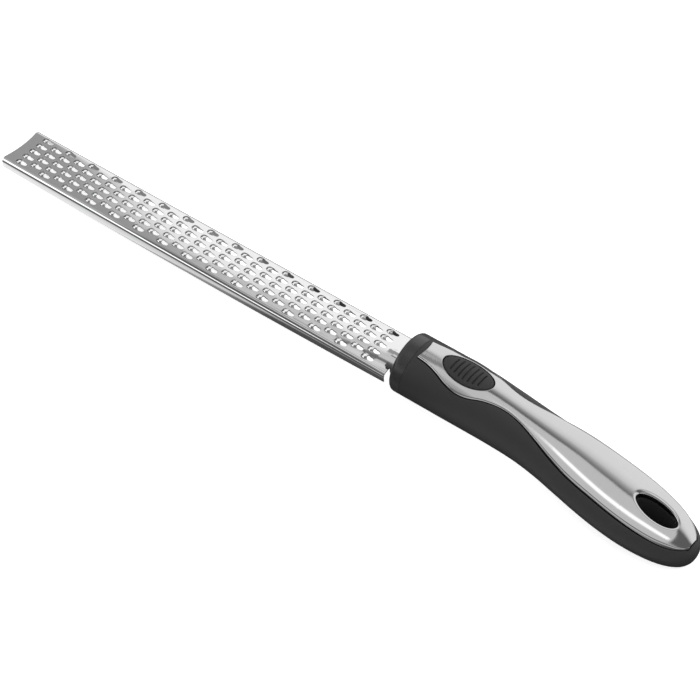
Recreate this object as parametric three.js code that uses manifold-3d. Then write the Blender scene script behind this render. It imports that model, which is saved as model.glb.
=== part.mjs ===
// Hand-held rasp grater: a toothed steel blade in a soft-grip handle with a steel spine.
// Millimetres. The blade lies along +X, from its tip to the handle, with its deck facing +Z.

import * as THREE from "three";
import { mergeVertices } from "three/addons/utils/BufferGeometryUtils.js";
import Module from "manifold-3d";

const wasm = await Module();
wasm.setup();

// Fits
const GAP = 0.3; // clearance between two pieces that touch

// Blade sheet
const BLADE_LENGTH = 203; // tip corners to the handle mouth
const DECK_WIDTH = 22.8; // over both flanges
const SHEET = 0.8; // steel thickness
const BEND_RADIUS = 2; // outside of the fold between deck and flange
const FLANGE_DEPTH = 4.6; // deck top to the flange's lower edge, at both ends
const FLANGE_BELLY = 1; // how much deeper a flange is in the middle
const FLANGE_STOP = 2.6; // free length of tang between the flanges' ends and the mouth
const DECK_CROWN = 1; // rise of the deck's middle at the handle; the tip is flat
const TIP_HOLLOW = 1; // how far the tip edge curves in

// Teeth, in staggered rows
const MAIN_ROWS = 5; // the rows between them make one less
const FIRST_HOLE = 9.8; // tip corners to the middle of the first holes
const ROOT_MARGIN = 8.5; // least distance from the last holes to the flanges' ends
const SIDE_MARGIN = 0.33; // from the outer holes to the fold
const HOLE_LENGTH = 2.9;
const HOLE_WIDTH = 1.9;
const HOOD_LENGTH = 2.8; // raised sheet on the tip side of a hole
const HOOD_HEIGHT = 0.95; // of the cutting edge
const CREST_HEIGHT = 0.65; // of the hood half-way back from its cutting edge
const TOOTH_SPACE = 0.8; // along the blade, from a tooth to the next one of the row beside it

// Tang
const TANG_LENGTH = 45; // inside the handle
const TANG_WIDTH = 12.4;
const RIB_WIDTH = 3; // stiffening bead along the tang
const RIB_HEIGHT = 0.7;
const PIN_RADIUS = 1.5;
const PIN_LENGTH = 8;
const FIRST_PIN = 19; // from the mouth
const PIN_MARGIN = 7; // from the last pin to the tang's end

// Handle outline on cuts across it
const HANDLE_PLACES = [0, 17, 27, 37, 47, 57, 67, 77, 87, 97, 107, 117, 124, 128.5, 131, 131.8];
const HANDLE_HALF_WIDTHS = [
  12.6, 12.6, 12.6, 12.4, 12.2, 12.2, 12.9, 14.2, 15.2, 15.6, 15.1, 13.2, 10.5, 7.3, 4, 1.6,
];
const HANDLE_HALF_HEIGHTS = [
  12.6, 12.7, 12.6, 12.2, 11.5, 10.8, 10.3, 9.9, 9.6, 9.3, 9, 8.3, 7.2, 5.5, 3.2, 1.4,
];
// Drop of the handle's middle line below the deck
const HANDLE_DROPS = [
  0.1, 0.1, 0.2, 0.6, 1.4, 2.5, 4.1, 6, 8.3, 10.6, 12.8, 14.9, 16.3, 17.1, 17.4, 17.5,
];
const SLEEVE = 2; // wall of the soft grip
const MOUTH_ROUND = 1.4; // rounding of the collar's front edge
const MOUTH_LEAN = 0.9; // how far the collar's front leans back at the top
const COLLAR_FACE = 2.5; // collar's front wall
const SEAM_TOP = 7; // collar's rear edge from the mouth, at the top
const SEAM_BOTTOM = 4; // and at the bottom
const LUG_WIDTH = 1.8; // collar lugs beside the tang
const LUG_HEIGHT = 2.4;

// Spine plate outline, from the mouth
const PLATE_PLACES = [
  8.5, 13, 18, 23, 28.5, 34, 40, 46, 51, 57, 65, 72, 80, 90, 100, 108, 116, 121.5, 125.5, 128,
];
const PLATE_HALF_WIDTHS = [
  5, 5.5, 6.7, 8.2, 8.9, 8.3, 6.4, 5.1, 4.85, 5.6,
  7.5, 9.2, 10.6, 11.3, 11.6, 11.3, 10.2, 8.6, 6.6, 4.3,
];
const PLATE_PROUD = 0.4; // plate top above the soft grip
const PLATE_ROUND = 0.9; // rounding along the plate's edge
const FRONT_HOLLOW = 1.2; // how far the plate's front edge curves in
const FRONT_HOLLOW_RADIUS = 11;
const POST_RADIUS = 2.2;
const POST_LENGTH = 3.5;
const POST_PLACES = [12.2, 53, 87]; // from the mouth
const SCREW_RADIUS = 1.1;
const SCREW_REACH = 3; // shank inside a post
const SCREW_HEAD_RADIUS = 2;
const SCREW_HEAD_HEIGHT = 1.4;
const WEB = 1.2; // core wall that a screw clamps

// Thumb pad
const PAD_PLACE = 28.5; // middle, from the mouth
const PAD_LENGTH = 22;
const PAD_WIDTH = 11.4;
const PAD_PROUD = 0.3;
const PAD_RIM = 1.3; // flange that the plate holds down
const PAD_DEPTH = 6.5; // from the top to the pad's flat underside
const PAD_GROOVES = 7;
const GROOVE_PITCH = 2.1;
const GROOVE_WIDTH = 0.8;
const GROOVE_DEPTH = 0.6;
const GROOVE_MARGIN = 1.5; // plain border round the grooves

// Hanging hole
const HANG_PLACE = 113; // middle, from the mouth
const HANG_LENGTH = 17.2;
const HANG_WIDTH = 8.4;
const LINER_WALL = 1;

// Fineness of the meshes
const RING_POINTS = 28;
const ARC_POINTS = 9;
const OVAL_POINTS = 28;
const ROUND_POINTS = 12;
const REACH = 60; // cutting solids run this far past the object

// Derived places
const mouth = BLADE_LENGTH;
const flatHalf = DECK_WIDTH / 2 - BEND_RADIUS;
const bendRun = (BEND_RADIUS * Math.PI) / 2;
const flangeRun = FLANGE_DEPTH - BEND_RADIUS;
const shoulder = mouth - FLANGE_STOP;
const tangHalf = TANG_WIDTH / 2;
const tangEnd = mouth + TANG_LENGTH;
const pinPlaces = [FIRST_PIN, TANG_LENGTH - PIN_MARGIN];
const coreInset = SLEEVE + GAP;
const handleCuts = HANDLE_PLACES.map((at, i) => (
  { at, wide: HANDLE_HALF_WIDTHS[i], high: HANDLE_HALF_HEIGHTS[i], drop: HANDLE_DROPS[i] }
));
const plateCuts = PLATE_PLACES.map((at, i) => ({ at, wide: PLATE_HALF_WIDTHS[i] }));
const handleLength = handleCuts.at(-1).at;
const toothLength = HOOD_LENGTH + HOLE_LENGTH;
const columnPitch = toothLength + TOOTH_SPACE;
const fieldLength = shoulder - ROOT_MARGIN - FIRST_HOLE;
const columns = 2 * Math.floor(fieldLength / columnPitch / 2) + 1;
const outerRow = flatHalf - SIDE_MARGIN - HOLE_WIDTH / 2;
const rowPitch = outerRow / (MAIN_ROWS - 1);
const tangTop = DECK_CROWN + RIB_HEIGHT;
const tangBottom = DECK_CROWN * (1 - (tangHalf / flatHalf) ** 2) - SHEET;

// Smooth curve through a list of cuts
function curve(cuts, key) {
  const slope = (i) => {
    const before = cuts[Math.max(i - 1, 0)];
    const after = cuts[Math.min(i + 1, cuts.length - 1)];
    return (after[key] - before[key]) / (after.at - before.at);
  };
  return (at) => {
    const inside = THREE.MathUtils.clamp(at, cuts[0].at, cuts.at(-1).at);
    const last = cuts.length - 2;
    const found = cuts.findIndex((s, i) => i <= last && inside <= cuts[i + 1].at);
    const i = Math.max(found, 0);
    const span = cuts[i + 1].at - cuts[i].at;
    const t = (inside - cuts[i].at) / span;
    const start = cuts[i][key] * (1 - 3 * t * t + 2 * t * t * t);
    const end = cuts[i + 1][key] * (3 * t * t - 2 * t * t * t);
    const leave = slope(i) * span * (t - 2 * t * t + t * t * t);
    const arrive = slope(i + 1) * span * (t * t * t - t * t);
    return start + end + leave + arrive;
  };
}
const handleWide = curve(handleCuts, "wide");
const handleHigh = curve(handleCuts, "high");
const handleDrop = curve(handleCuts, "drop");

// Height of the handle's top at a place, for a surface set off from it
function handleTop(at, y, offset) {
  const wide = handleWide(at) + offset;
  const high = handleHigh(at) + offset;
  return high * Math.sqrt(Math.max(0, 1 - (y / wide) ** 2)) - handleDrop(at);
}

function toManifold(geometry) {
  const bare = geometry.clone();
  bare.deleteAttribute("normal");
  bare.deleteAttribute("uv");
  const merged = mergeVertices(bare, 1e-5);
  return new wasm.Manifold(new wasm.Mesh({
    numProp: 3,
    vertProperties: new Float32Array(merged.attributes.position.array),
    triVerts: new Uint32Array(merged.index.array),
  }));
}

function toGeometry(solid) {
  const mesh = solid.getMesh();
  const geometry = new THREE.BufferGeometry();
  geometry.setAttribute("position", new THREE.BufferAttribute(mesh.vertProperties, mesh.numProp));
  geometry.setIndex(new THREE.BufferAttribute(mesh.triVerts, 1));
  geometry.computeVertexNormals();
  return geometry;
}

function meshGeometry(points, triangles) {
  const geometry = new THREE.BufferGeometry();
  geometry.setAttribute("position", new THREE.Float32BufferAttribute(points.flat(), 3));
  geometry.setIndex(triangles.flat());
  return geometry;
}

// Solid through closed rings of points that run anticlockwise seen from +X, along +X
function loft(rings) {
  const count = rings[0].length;
  const triangles = [];
  for (let r = 0; r + 1 < rings.length; r += 1) {
    for (let i = 0; i < count; i += 1) {
      const a = r * count + i;
      const b = r * count + ((i + 1) % count);
      triangles.push([a, b, b + count], [a, b + count, a + count]);
    }
  }
  const outline = rings[0].map(([, y, z]) => new THREE.Vector2(y, z));
  const cap = THREE.ShapeUtils.triangulateShape(outline, []);
  const base = (rings.length - 1) * count;
  cap.forEach(([a, b, c]) => triangles.push([a, c, b], [base + a, base + b, base + c]));
  return toManifold(meshGeometry(rings.flat(), triangles));
}

function block(x0, x1, y0, y1, z0, z1) {
  const box = new THREE.BoxGeometry(x1 - x0, y1 - y0, z1 - z0);
  return toManifold(box.translate((x0 + x1) / 2, (y0 + y1) / 2, (z0 + z1) / 2));
}

// Upright prism with an oval outline, standing across the handle
function oval(at, halfLength, halfWidth, z0 = -REACH, z1 = REACH) {
  const prism = new THREE.CylinderGeometry(1, 1, z1 - z0, OVAL_POINTS);
  prism.rotateX(Math.PI / 2).scale(halfLength, halfWidth, 1);
  return toManifold(prism.translate(mouth + at, 0, (z0 + z1) / 2));
}

function rod(at, radius, z0, z1) {
  const bar = new THREE.CylinderGeometry(radius, radius, z1 - z0, ROUND_POINTS);
  return toManifold(bar.rotateX(Math.PI / 2).translate(mouth + at, 0, (z0 + z1) / 2));
}

// Handle form set off from the outline, with its tail drawn in by the same amount
function handleForm(offset) {
  const tailOnly = 8; // power that keeps the draw-in to the tail
  const rings = handleCuts.map((cut) => {
    const at = cut.at + offset * (cut.at / handleLength) ** tailOnly;
    const wide = Math.max(cut.wide + offset, GAP);
    const high = Math.max(cut.high + offset, GAP);
    return Array.from({ length: RING_POINTS }, (_, i) => {
      const turn = (2 * Math.PI * i) / RING_POINTS;
      return [mouth + at, wide * Math.cos(turn), high * Math.sin(turn) - cut.drop];
    });
  });
  return loft(rings);
}

// Solid with an outline in the XZ plane, running across the whole object
function across(outline) {
  const shape = new THREE.Shape(outline.map(([x, z]) => new THREE.Vector2(x, z)));
  const plate = new THREE.ExtrudeGeometry(shape, { depth: 2 * REACH, bevelEnabled: false });
  return toManifold(plate.rotateX(Math.PI / 2).translate(0, REACH, 0));
}

// Everything under the handle's middle line, raised by an amount
function underMiddle(raise) {
  const line = handleCuts.map((cut) => [mouth + cut.at, raise - cut.drop]);
  const start = [mouth - REACH, line[0][1]];
  const end = [mouth + handleLength + REACH, line.at(-1)[1]];
  return across([[start[0], -REACH], [end[0], -REACH], end, ...line.reverse(), start]);
}

// Everything behind the collar's slanted rear edge, moved back by an amount
function behindSeam(back) {
  const top = handleCuts[0].high;
  const seam = (z) => mouth + back + THREE.MathUtils.mapLinear(z, -top, top, SEAM_BOTTOM, SEAM_TOP);
  const far = mouth + handleLength + REACH;
  return across([[seam(-REACH), -REACH], [far, -REACH], [far, REACH], [seam(REACH), REACH]]);
}

// Folded sheet: a point of the flat sheet at distance s from the middle, at a depth in the steel
function fold(x, s, depth) {
  const past = Math.abs(s) - flatHalf;
  if (past <= 0) {
    const rise = DECK_CROWN * Math.min(x / mouth, 1) * (1 - (s / flatHalf) ** 2);
    return [x, s, rise - depth];
  }
  const turn = Math.min(past, bendRun) / BEND_RADIUS;
  const belly = FLANGE_BELLY * (1 - (2 * x / shoulder - 1) ** 2);
  const straight = Math.max(past - bendRun, 0) * (1 + belly / flangeRun);
  const radius = BEND_RADIUS - depth;
  const y = flatHalf + radius * Math.sin(turn);
  return [x, Math.sign(s) * y, radius * Math.cos(turn) - BEND_RADIUS - straight];
}

// Flat sheet of shared points and triangles, which is then folded and given its thickness
class Sheet {
  points = [];
  faces = [];
  known = new Map();

  point(x, s, lift = 0) {
    const key = `${x.toFixed(4)} ${s.toFixed(4)}`;
    if (!this.known.has(key)) {
      this.known.set(key, this.points.length);
      this.points.push({ x, s, lift });
    }
    return this.known.get(key);
  }

  // Fills the strip between two rows of points, each in order of s
  zip(low, high) {
    let i = 0;
    let j = 0;
    while (i + 1 < low.length || j + 1 < high.length) {
      const nextLow = i + 1 < low.length ? this.points[low[i + 1]].s : Infinity;
      const nextHigh = j + 1 < high.length ? this.points[high[j + 1]].s : Infinity;
      if (nextLow <= nextHigh) {
        this.faces.push([low[i], high[j], low[i + 1]]);
        i += 1;
      } else {
        this.faces.push([low[i], high[j], high[j + 1]]);
        j += 1;
      }
    }
  }

  solid() {
    const count = this.points.length;
    const side = (depth) => this.points.map(({ x, s, lift }) => {
      const [px, py, pz] = fold(x, s, depth);
      return [px, py, pz + lift];
    });
    const triangles = this.faces.flatMap(([a, b, c]) => [[a, b, c], [a + count, c + count, b + count]]);
    const edges = this.faces.flatMap(([a, b, c]) => [[a, b], [b, c], [c, a]]);
    const used = new Set(edges.map(([a, b]) => `${a} ${b}`));
    edges.filter(([a, b]) => !used.has(`${b} ${a}`)).forEach(([a, b]) => {
      triangles.push([b, a, a + count], [b, a + count, b + count]);
    });
    return toManifold(meshGeometry([...side(0), ...side(SHEET)], triangles));
  }
}

// One tooth in its cell of the sheet: a hole with the sheet raised into a hood on its tip side
function addTooth(sheet, holeX, rowS, x0, x1, s0, s1) {
  const wide = HOLE_WIDTH / 2;
  const long = HOLE_LENGTH / 2;
  const slant = Math.PI / 4; // direction of the points on the round ends of hood and hole
  const at = (dx, ds, lift = 0) => sheet.point(holeX + dx, rowS + ds, lift);
  const pair = (dx, ds) => [at(dx, -ds), at(dx, ds)];
  const edge = at(-long, 0, HOOD_HEIGHT);
  const crest = at(-long - HOOD_LENGTH / 2, 0, CREST_HEIGHT);
  const back = at(-long - HOOD_LENGTH, 0);
  const right = at(long, 0);
  const heel = pair(-long - HOOD_LENGTH * Math.cos(slant), wide * Math.sin(slant));
  const base = pair(-long / 2, wide);
  const front = pair(long * Math.cos(slant), wide * Math.sin(slant));
  const [a, b] = [sheet.point(x0, s0), sheet.point(x1, s0)];
  const [d, c] = [sheet.point(x0, s1), sheet.point(x1, s1)];
  const [l, m] = [sheet.point(x0, rowS), sheet.point(x1, rowS)];
  sheet.faces.push(
    [crest, base[0], edge], [crest, edge, base[1]], [crest, base[1], heel[1]],
    [crest, heel[1], back], [crest, back, heel[0]], [crest, heel[0], base[0]],
    [l, a, back], [a, heel[0], back], [a, base[0], heel[0]], [a, b, base[0]],
    [b, front[0], base[0]], [b, right, front[0]], [b, m, right],
    [m, c, right], [c, front[1], right], [c, base[1], front[1]], [c, d, base[1]],
    [d, heel[1], base[1]], [d, back, heel[1]], [d, l, back],
  );
}

// Toothed blade with its folded flanges and the tang that the handle holds
function makeBlade() {
  const sheet = new Sheet();
  const bend = [0, 1, 2, 3].map((step) => (bendRun * step) / 3);
  const folds = [...bend, bendRun + flangeRun].map((run) => flatHalf + run);
  const levels = Array.from({ length: 2 * MAIN_ROWS - 1 }, (_, i) => (i - MAIN_ROWS + 1) * rowPitch);
  const mirrored = folds.map((s) => -s).reverse();
  const row = (x, list) => list.map((s) => sheet.point(x, s));
  const field = FIRST_HOLE - HOLE_LENGTH / 2 - HOOD_LENGTH - TOOTH_SPACE / 2;

  const tipX = (s) => TIP_HOLLOW * Math.max(0, 1 - (s / flatHalf) ** 2);
  const whole = [...mirrored, ...levels, ...folds];
  sheet.zip(whole.map((s) => sheet.point(tipX(s), s)), row(field, whole));

  for (let column = 0; column < columns; column += 1) {
    const x0 = field + column * columnPitch;
    const x1 = x0 + columnPitch;
    const holeX = FIRST_HOLE + column * columnPitch;
    const between = column % 2;
    const limits = [-flatHalf, ...levels, flatHalf];
    sheet.zip(row(x0, mirrored), row(x1, mirrored));
    sheet.zip(row(x0, folds), row(x1, folds));
    if (between) {
      sheet.zip(row(x0, limits.slice(0, 2)), row(x1, limits.slice(0, 2)));
      sheet.zip(row(x0, limits.slice(-2)), row(x1, limits.slice(-2)));
    }
    for (let i = between; i < levels.length; i += 2) {
      addTooth(sheet, holeX, levels[i], x0, x1, limits[i], limits[i + 2]);
    }
  }

  const ribHalf = RIB_WIDTH / 2;
  const tangRow = (x) => [-tangHalf, -ribHalf, 0, ribHalf, tangHalf].map(
    (s) => sheet.point(x, s, s === 0 ? RIB_HEIGHT : 0),
  );
  const root = tangRow(shoulder);
  sheet.zip(
    row(field + columns * columnPitch, whole),
    [...row(shoulder, mirrored), ...root, ...row(shoulder, folds)],
  );
  sheet.zip(root, tangRow(tangEnd));

  const holes = pinPlaces.map((at) => rod(at, PIN_RADIUS + GAP, -REACH, REACH));
  return holes.reduce((blade, hole) => blade.subtract(hole), sheet.solid());
}

function tangSlot() {
  const half = tangHalf + GAP;
  return block(mouth - REACH, tangEnd + GAP, -half, half, tangBottom - GAP, tangTop + GAP);
}

function pinEnds() {
  const middle = (tangTop + tangBottom) / 2;
  return [middle - PIN_LENGTH / 2, middle + PIN_LENGTH / 2];
}

function makePin(at) {
  return rod(at, PIN_RADIUS, ...pinEnds());
}

function hangOval(grow) {
  return oval(HANG_PLACE, HANG_LENGTH / 2 + grow, HANG_WIDTH / 2 + grow);
}

// Hard ring at the handle's mouth, with the slot and the two lugs that hold the blade square
function makeCollar() {
  const first = handleCuts[0];
  const ring = (at, inset) => Array.from({ length: RING_POINTS }, (_, i) => {
    const turn = (2 * Math.PI * i) / RING_POINTS;
    const lean = (MOUTH_LEAN * (1 + Math.sin(turn))) / 2;
    const y = (handleWide(at) - inset) * Math.cos(turn);
    return [mouth + at + lean, y, (handleHigh(at) - inset) * Math.sin(turn) - first.drop];
  });
  const steps = [0, Math.PI / 4, Math.PI / 2];
  const rounded = steps.map((turn) => ring(
    MOUTH_ROUND * (1 - Math.cos(turn)), MOUTH_ROUND * (1 - Math.sin(turn)),
  ));
  const outside = loft([...rounded, ring(2 * SEAM_TOP, 0)]).subtract(behindSeam(0));
  const cavity = handleForm(-SLEEVE).intersect(
    block(mouth + COLLAR_FACE, mouth + handleLength, -REACH, REACH, -REACH, REACH),
  );
  const lugReach = mouth - FLANGE_STOP + 2 * GAP;
  const lugStart = tangHalf + GAP;
  const lug = (y0, y1) => block(lugReach, mouth + COLLAR_FACE / 2, y0, y1, -LUG_HEIGHT / 2, LUG_HEIGHT / 2);
  return outside.subtract(cavity)
    .add(lug(lugStart, lugStart + LUG_WIDTH))
    .add(lug(-lugStart - LUG_WIDTH, -lugStart))
    .subtract(tangSlot());
}

// Plan of the spine plate, grown by an amount, as an upright prism
function plateOutline(grow) {
  const near = plateCuts.map(({ at, wide }) => [mouth + at, -wide - grow]);
  near[0][0] -= grow;
  near.at(-1)[0] += grow;
  const far = near.map(([x, y]) => [x, -y]).reverse();
  const shape = new THREE.Shape([...near, ...far].map(([x, y]) => new THREE.Vector2(x, y)));
  const prism = new THREE.ExtrudeGeometry(shape, { depth: 2 * REACH, bevelEnabled: false });
  return toManifold(prism.translate(0, 0, -REACH)).subtract(frontHollow(-grow));
}

function frontHollow(grow) {
  const at = plateCuts[0].at + FRONT_HOLLOW - FRONT_HOLLOW_RADIUS;
  const radius = FRONT_HOLLOW_RADIUS + grow;
  return oval(at, radius, radius);
}

// Soft grip round the core, open on top for the spine plate
function makeSleeve() {
  const opening = plateOutline(GAP).subtract(underMiddle(0));
  return handleForm(0)
    .subtract(handleForm(-SLEEVE))
    .intersect(behindSeam(GAP))
    .subtract(opening)
    .subtract(hangOval(LINER_WALL + GAP));
}

// Heights along one of the posts that hold the spine plate
function postHeights(at) {
  const under = handleTop(at, 0, -SLEEVE);
  const foot = under - POST_LENGTH;
  const webTop = foot - GAP;
  const headTop = webTop - WEB - GAP;
  return { under, foot, webTop, webBottom: webTop - WEB, headTop };
}

// Steel spine with the pad's window, the hanging hole and three screw posts
function makePlate() {
  const rings = plateCuts.map(({ at, wide }) => {
    const flat = wide - PLATE_ROUND;
    const spread = (half, i) => half * ((2 * i) / (ARC_POINTS - 1) - 1);
    const index = Array.from({ length: ARC_POINTS }, (_, i) => i);
    const edge = handleTop(at, wide, PLATE_PROUD);
    const corner = PLATE_ROUND * (1 - Math.SQRT1_2);
    const top = index.map((i) => [spread(flat, i), handleTop(at, spread(flat, i), PLATE_PROUD)]);
    const under = index.map((i) => [spread(wide, i), handleTop(at, spread(wide, i), -SLEEVE)]);
    const rim = (side) => [[side * (wide - corner), edge - corner], [side * wide, edge - PLATE_ROUND]];
    const outline = [...under, ...rim(1).reverse(), ...top.reverse(), ...rim(-1)];
    return outline.map(([y, z]) => [mouth + at, y, z]);
  });
  const window = oval(PAD_PLACE, PAD_LENGTH / 2 + GAP, PAD_WIDTH / 2 + GAP);
  const sheet = loft(rings).subtract(frontHollow(0)).subtract(window).subtract(hangOval(0));
  return POST_PLACES.reduce((plate, at) => {
    const { under, foot } = postHeights(at);
    const post = rod(at, POST_RADIUS, foot, under + SLEEVE / 2);
    const bore = rod(at, SCREW_RADIUS + GAP, foot - GAP, foot + SCREW_REACH + GAP);
    return plate.add(post).subtract(bore);
  }, sheet);
}

function makeScrew(at) {
  const { foot, headTop } = postHeights(at);
  const head = rod(at, SCREW_HEAD_RADIUS, headTop - SCREW_HEAD_HEIGHT, headTop);
  return head.add(rod(at, SCREW_RADIUS, headTop - SCREW_HEAD_HEIGHT / 2, foot + SCREW_REACH));
}

function padBottom() {
  return handleTop(PAD_PLACE, 0, PAD_PROUD) - PAD_DEPTH;
}

// Upper and lower halves of the hard core, which close on the tang
function makeCore() {
  const front = mouth + COLLAR_FACE + GAP;
  const whole = handleForm(-coreInset)
    .intersect(block(front, mouth + handleLength, -REACH, REACH, -REACH, REACH))
    .subtract(tangSlot())
    .subtract(hangOval(LINER_WALL + GAP));
  const [low, high] = pinEnds();
  const drilled = pinPlaces.reduce(
    (core, at) => core.subtract(rod(at, PIN_RADIUS + GAP, low - GAP, high + GAP)), whole,
  );
  const rimGrow = PAD_RIM + GAP;
  const pocket = oval(
    PAD_PLACE, PAD_LENGTH / 2 + rimGrow, PAD_WIDTH / 2 + rimGrow, padBottom() - GAP, REACH,
  );
  const upper = POST_PLACES.reduce((core, at) => {
    const { webTop, webBottom, foot } = postHeights(at);
    return core
      .subtract(rod(at, POST_RADIUS + GAP, webTop, REACH))
      .subtract(rod(at, SCREW_RADIUS + GAP, webBottom - GAP, foot))
      .subtract(rod(at, SCREW_HEAD_RADIUS + GAP, -REACH, webBottom));
  }, drilled.subtract(underMiddle(GAP / 2)).subtract(pocket));
  return { upper, lower: drilled.intersect(underMiddle(-GAP / 2)) };
}

// Oval thumb rest with cross grooves; its rim sits under the spine plate
function makePad() {
  const inner = (margin) => oval(PAD_PLACE, PAD_LENGTH / 2 - margin, PAD_WIDTH / 2 - margin, padBottom());
  const crown = inner(0).intersect(handleForm(PAD_PROUD));
  const rim = inner(-PAD_RIM).intersect(handleForm(-coreInset));
  const floor = handleForm(PAD_PROUD - GROOVE_DEPTH);
  const grooves = Array.from({ length: PAD_GROOVES }, (_, i) => {
    const middle = mouth + PAD_PLACE + (i - (PAD_GROOVES - 1) / 2) * GROOVE_PITCH;
    const slab = block(middle - GROOVE_WIDTH / 2, middle + GROOVE_WIDTH / 2, -REACH, REACH, 0, REACH);
    return slab.intersect(inner(GROOVE_MARGIN)).subtract(floor);
  });
  return grooves.reduce((pad, groove) => pad.subtract(groove), crown.add(rim));
}

// Tube that lines the hanging hole from the plate's underside to the grip's belly
function makeLiner() {
  const room = handleForm(0).intersect(underMiddle(0)).add(handleForm(-coreInset));
  return hangOval(LINER_WALL).subtract(hangOval(0)).intersect(room);
}

const finish = (color, roughness, metalness) => (
  new THREE.MeshStandardMaterial({ color, roughness, metalness })
);
const polishedSteel = finish(0xc9cbcd, 0.18, 1);
const brushedSteel = finish(0xb4b4b4, 0.34, 1);
const plainSteel = finish(0x9a9c9e, 0.4, 1);
const softGrip = finish(0x2f2f30, 0.75, 0);
const hardBlack = finish(0x3a3a3b, 0.5, 0);
const coreGrey = finish(0x4a4a4c, 0.6, 0);

const tool = new THREE.Group();
function place(name, solid, material) {
  const mesh = new THREE.Mesh(toGeometry(solid), material);
  mesh.name = name;
  tool.add(mesh);
}

const core = makeCore();
place("grater_blade", makeBlade(), polishedSteel);
place("front_collar", makeCollar(), hardBlack);
place("grip_sleeve", makeSleeve(), softGrip);
place("core_upper", core.upper, coreGrey);
place("core_lower", core.lower, coreGrey);
place("spine_plate", makePlate(), brushedSteel);
place("thumb_pad", makePad(), softGrip);
place("hang_hole_liner", makeLiner(), hardBlack);
pinPlaces.forEach((at, i) => place(`tang_pin_${i + 1}`, makePin(at), plainSteel));
POST_PLACES.forEach((at, i) => place(`plate_screw_${i + 1}`, makeScrew(at), plainSteel));

// Laid down as it rests: on the flanges' tip corners and on the tail's belly
const lean = Math.max(...handleCuts.map(
  ({ at, high, drop }) => Math.atan2(high + drop - FLANGE_DEPTH, mouth + at),
));
tool.rotation.y = -lean;

const group = new THREE.Group();
group.add(tool);
const extent = new THREE.Box3().setFromObject(group, true);
const middle = extent.getCenter(new THREE.Vector3());
tool.position.set(-middle.x, -middle.y, -extent.min.z);

export default group;
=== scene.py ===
"""Dressed model of a hand-held rasp grater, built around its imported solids.

Sizes are millimetres in the tool's own frame: x runs from the blade's tip to the
handle's tail, y across, z up from the flat deck. ToolFrame lays the tool down in metres.
"""
import logging
import math
from dataclasses import dataclass, field
from enum import Enum
from typing import Any, Optional, Sequence, Union

import bmesh
import bpy
import numpy as np
from mathutils import Matrix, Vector
from mathutils.kdtree import KDTree


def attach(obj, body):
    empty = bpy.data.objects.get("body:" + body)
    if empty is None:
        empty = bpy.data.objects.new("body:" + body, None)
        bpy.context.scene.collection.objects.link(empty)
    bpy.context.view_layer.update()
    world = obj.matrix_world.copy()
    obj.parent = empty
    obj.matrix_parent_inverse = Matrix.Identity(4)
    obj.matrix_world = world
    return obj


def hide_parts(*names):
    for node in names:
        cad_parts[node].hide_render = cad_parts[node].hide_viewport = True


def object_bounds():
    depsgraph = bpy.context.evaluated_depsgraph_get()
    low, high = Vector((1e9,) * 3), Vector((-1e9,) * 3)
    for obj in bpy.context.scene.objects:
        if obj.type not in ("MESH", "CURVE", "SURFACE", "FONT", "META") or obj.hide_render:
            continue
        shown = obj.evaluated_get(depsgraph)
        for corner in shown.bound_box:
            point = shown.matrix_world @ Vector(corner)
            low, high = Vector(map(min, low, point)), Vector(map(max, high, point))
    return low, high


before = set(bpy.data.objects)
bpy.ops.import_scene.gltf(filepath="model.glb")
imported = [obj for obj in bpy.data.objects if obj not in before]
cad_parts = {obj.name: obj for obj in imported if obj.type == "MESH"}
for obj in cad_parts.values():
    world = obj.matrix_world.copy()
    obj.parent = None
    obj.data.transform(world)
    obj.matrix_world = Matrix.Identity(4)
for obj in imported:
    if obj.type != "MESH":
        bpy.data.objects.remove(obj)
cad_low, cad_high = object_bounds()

log = logging.getLogger("rasp_grater")
MM = 0.001
BODY = "root"
GAP = 0.3  # between two pieces that touch
SEAM = 0.05  # between the grip and the collar
MERGE = 0.004  # points of a skin closer than this are one
TINY = 1e-6
SPECK = 1e-9  # least share of an oval or a rib's nose
MOST_SINE = 0.999

Faces = list[tuple[int, ...]]
Number = Union[int, float]
Key = Union[str, int]
Band = tuple[float, float]
Stops = tuple[tuple[float, float], ...]


class Slot(Enum):
    """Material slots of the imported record."""

    POLISHED_STEEL = "polished_steel"
    HARD_BLACK = "hard_black"
    SOFT_GRIP = "soft_grip"
    BRUSHED_SPINE = "brushed_spine"


class Grain(Enum):
    """Direction in which a finish is drawn out."""

    NONE = (1.0, 1.0, 1.0)
    LENGTHWISE = (0.02, 1.0, 1.0)
    CROSSWISE = (1.0, 0.015, 0.015)


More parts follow.
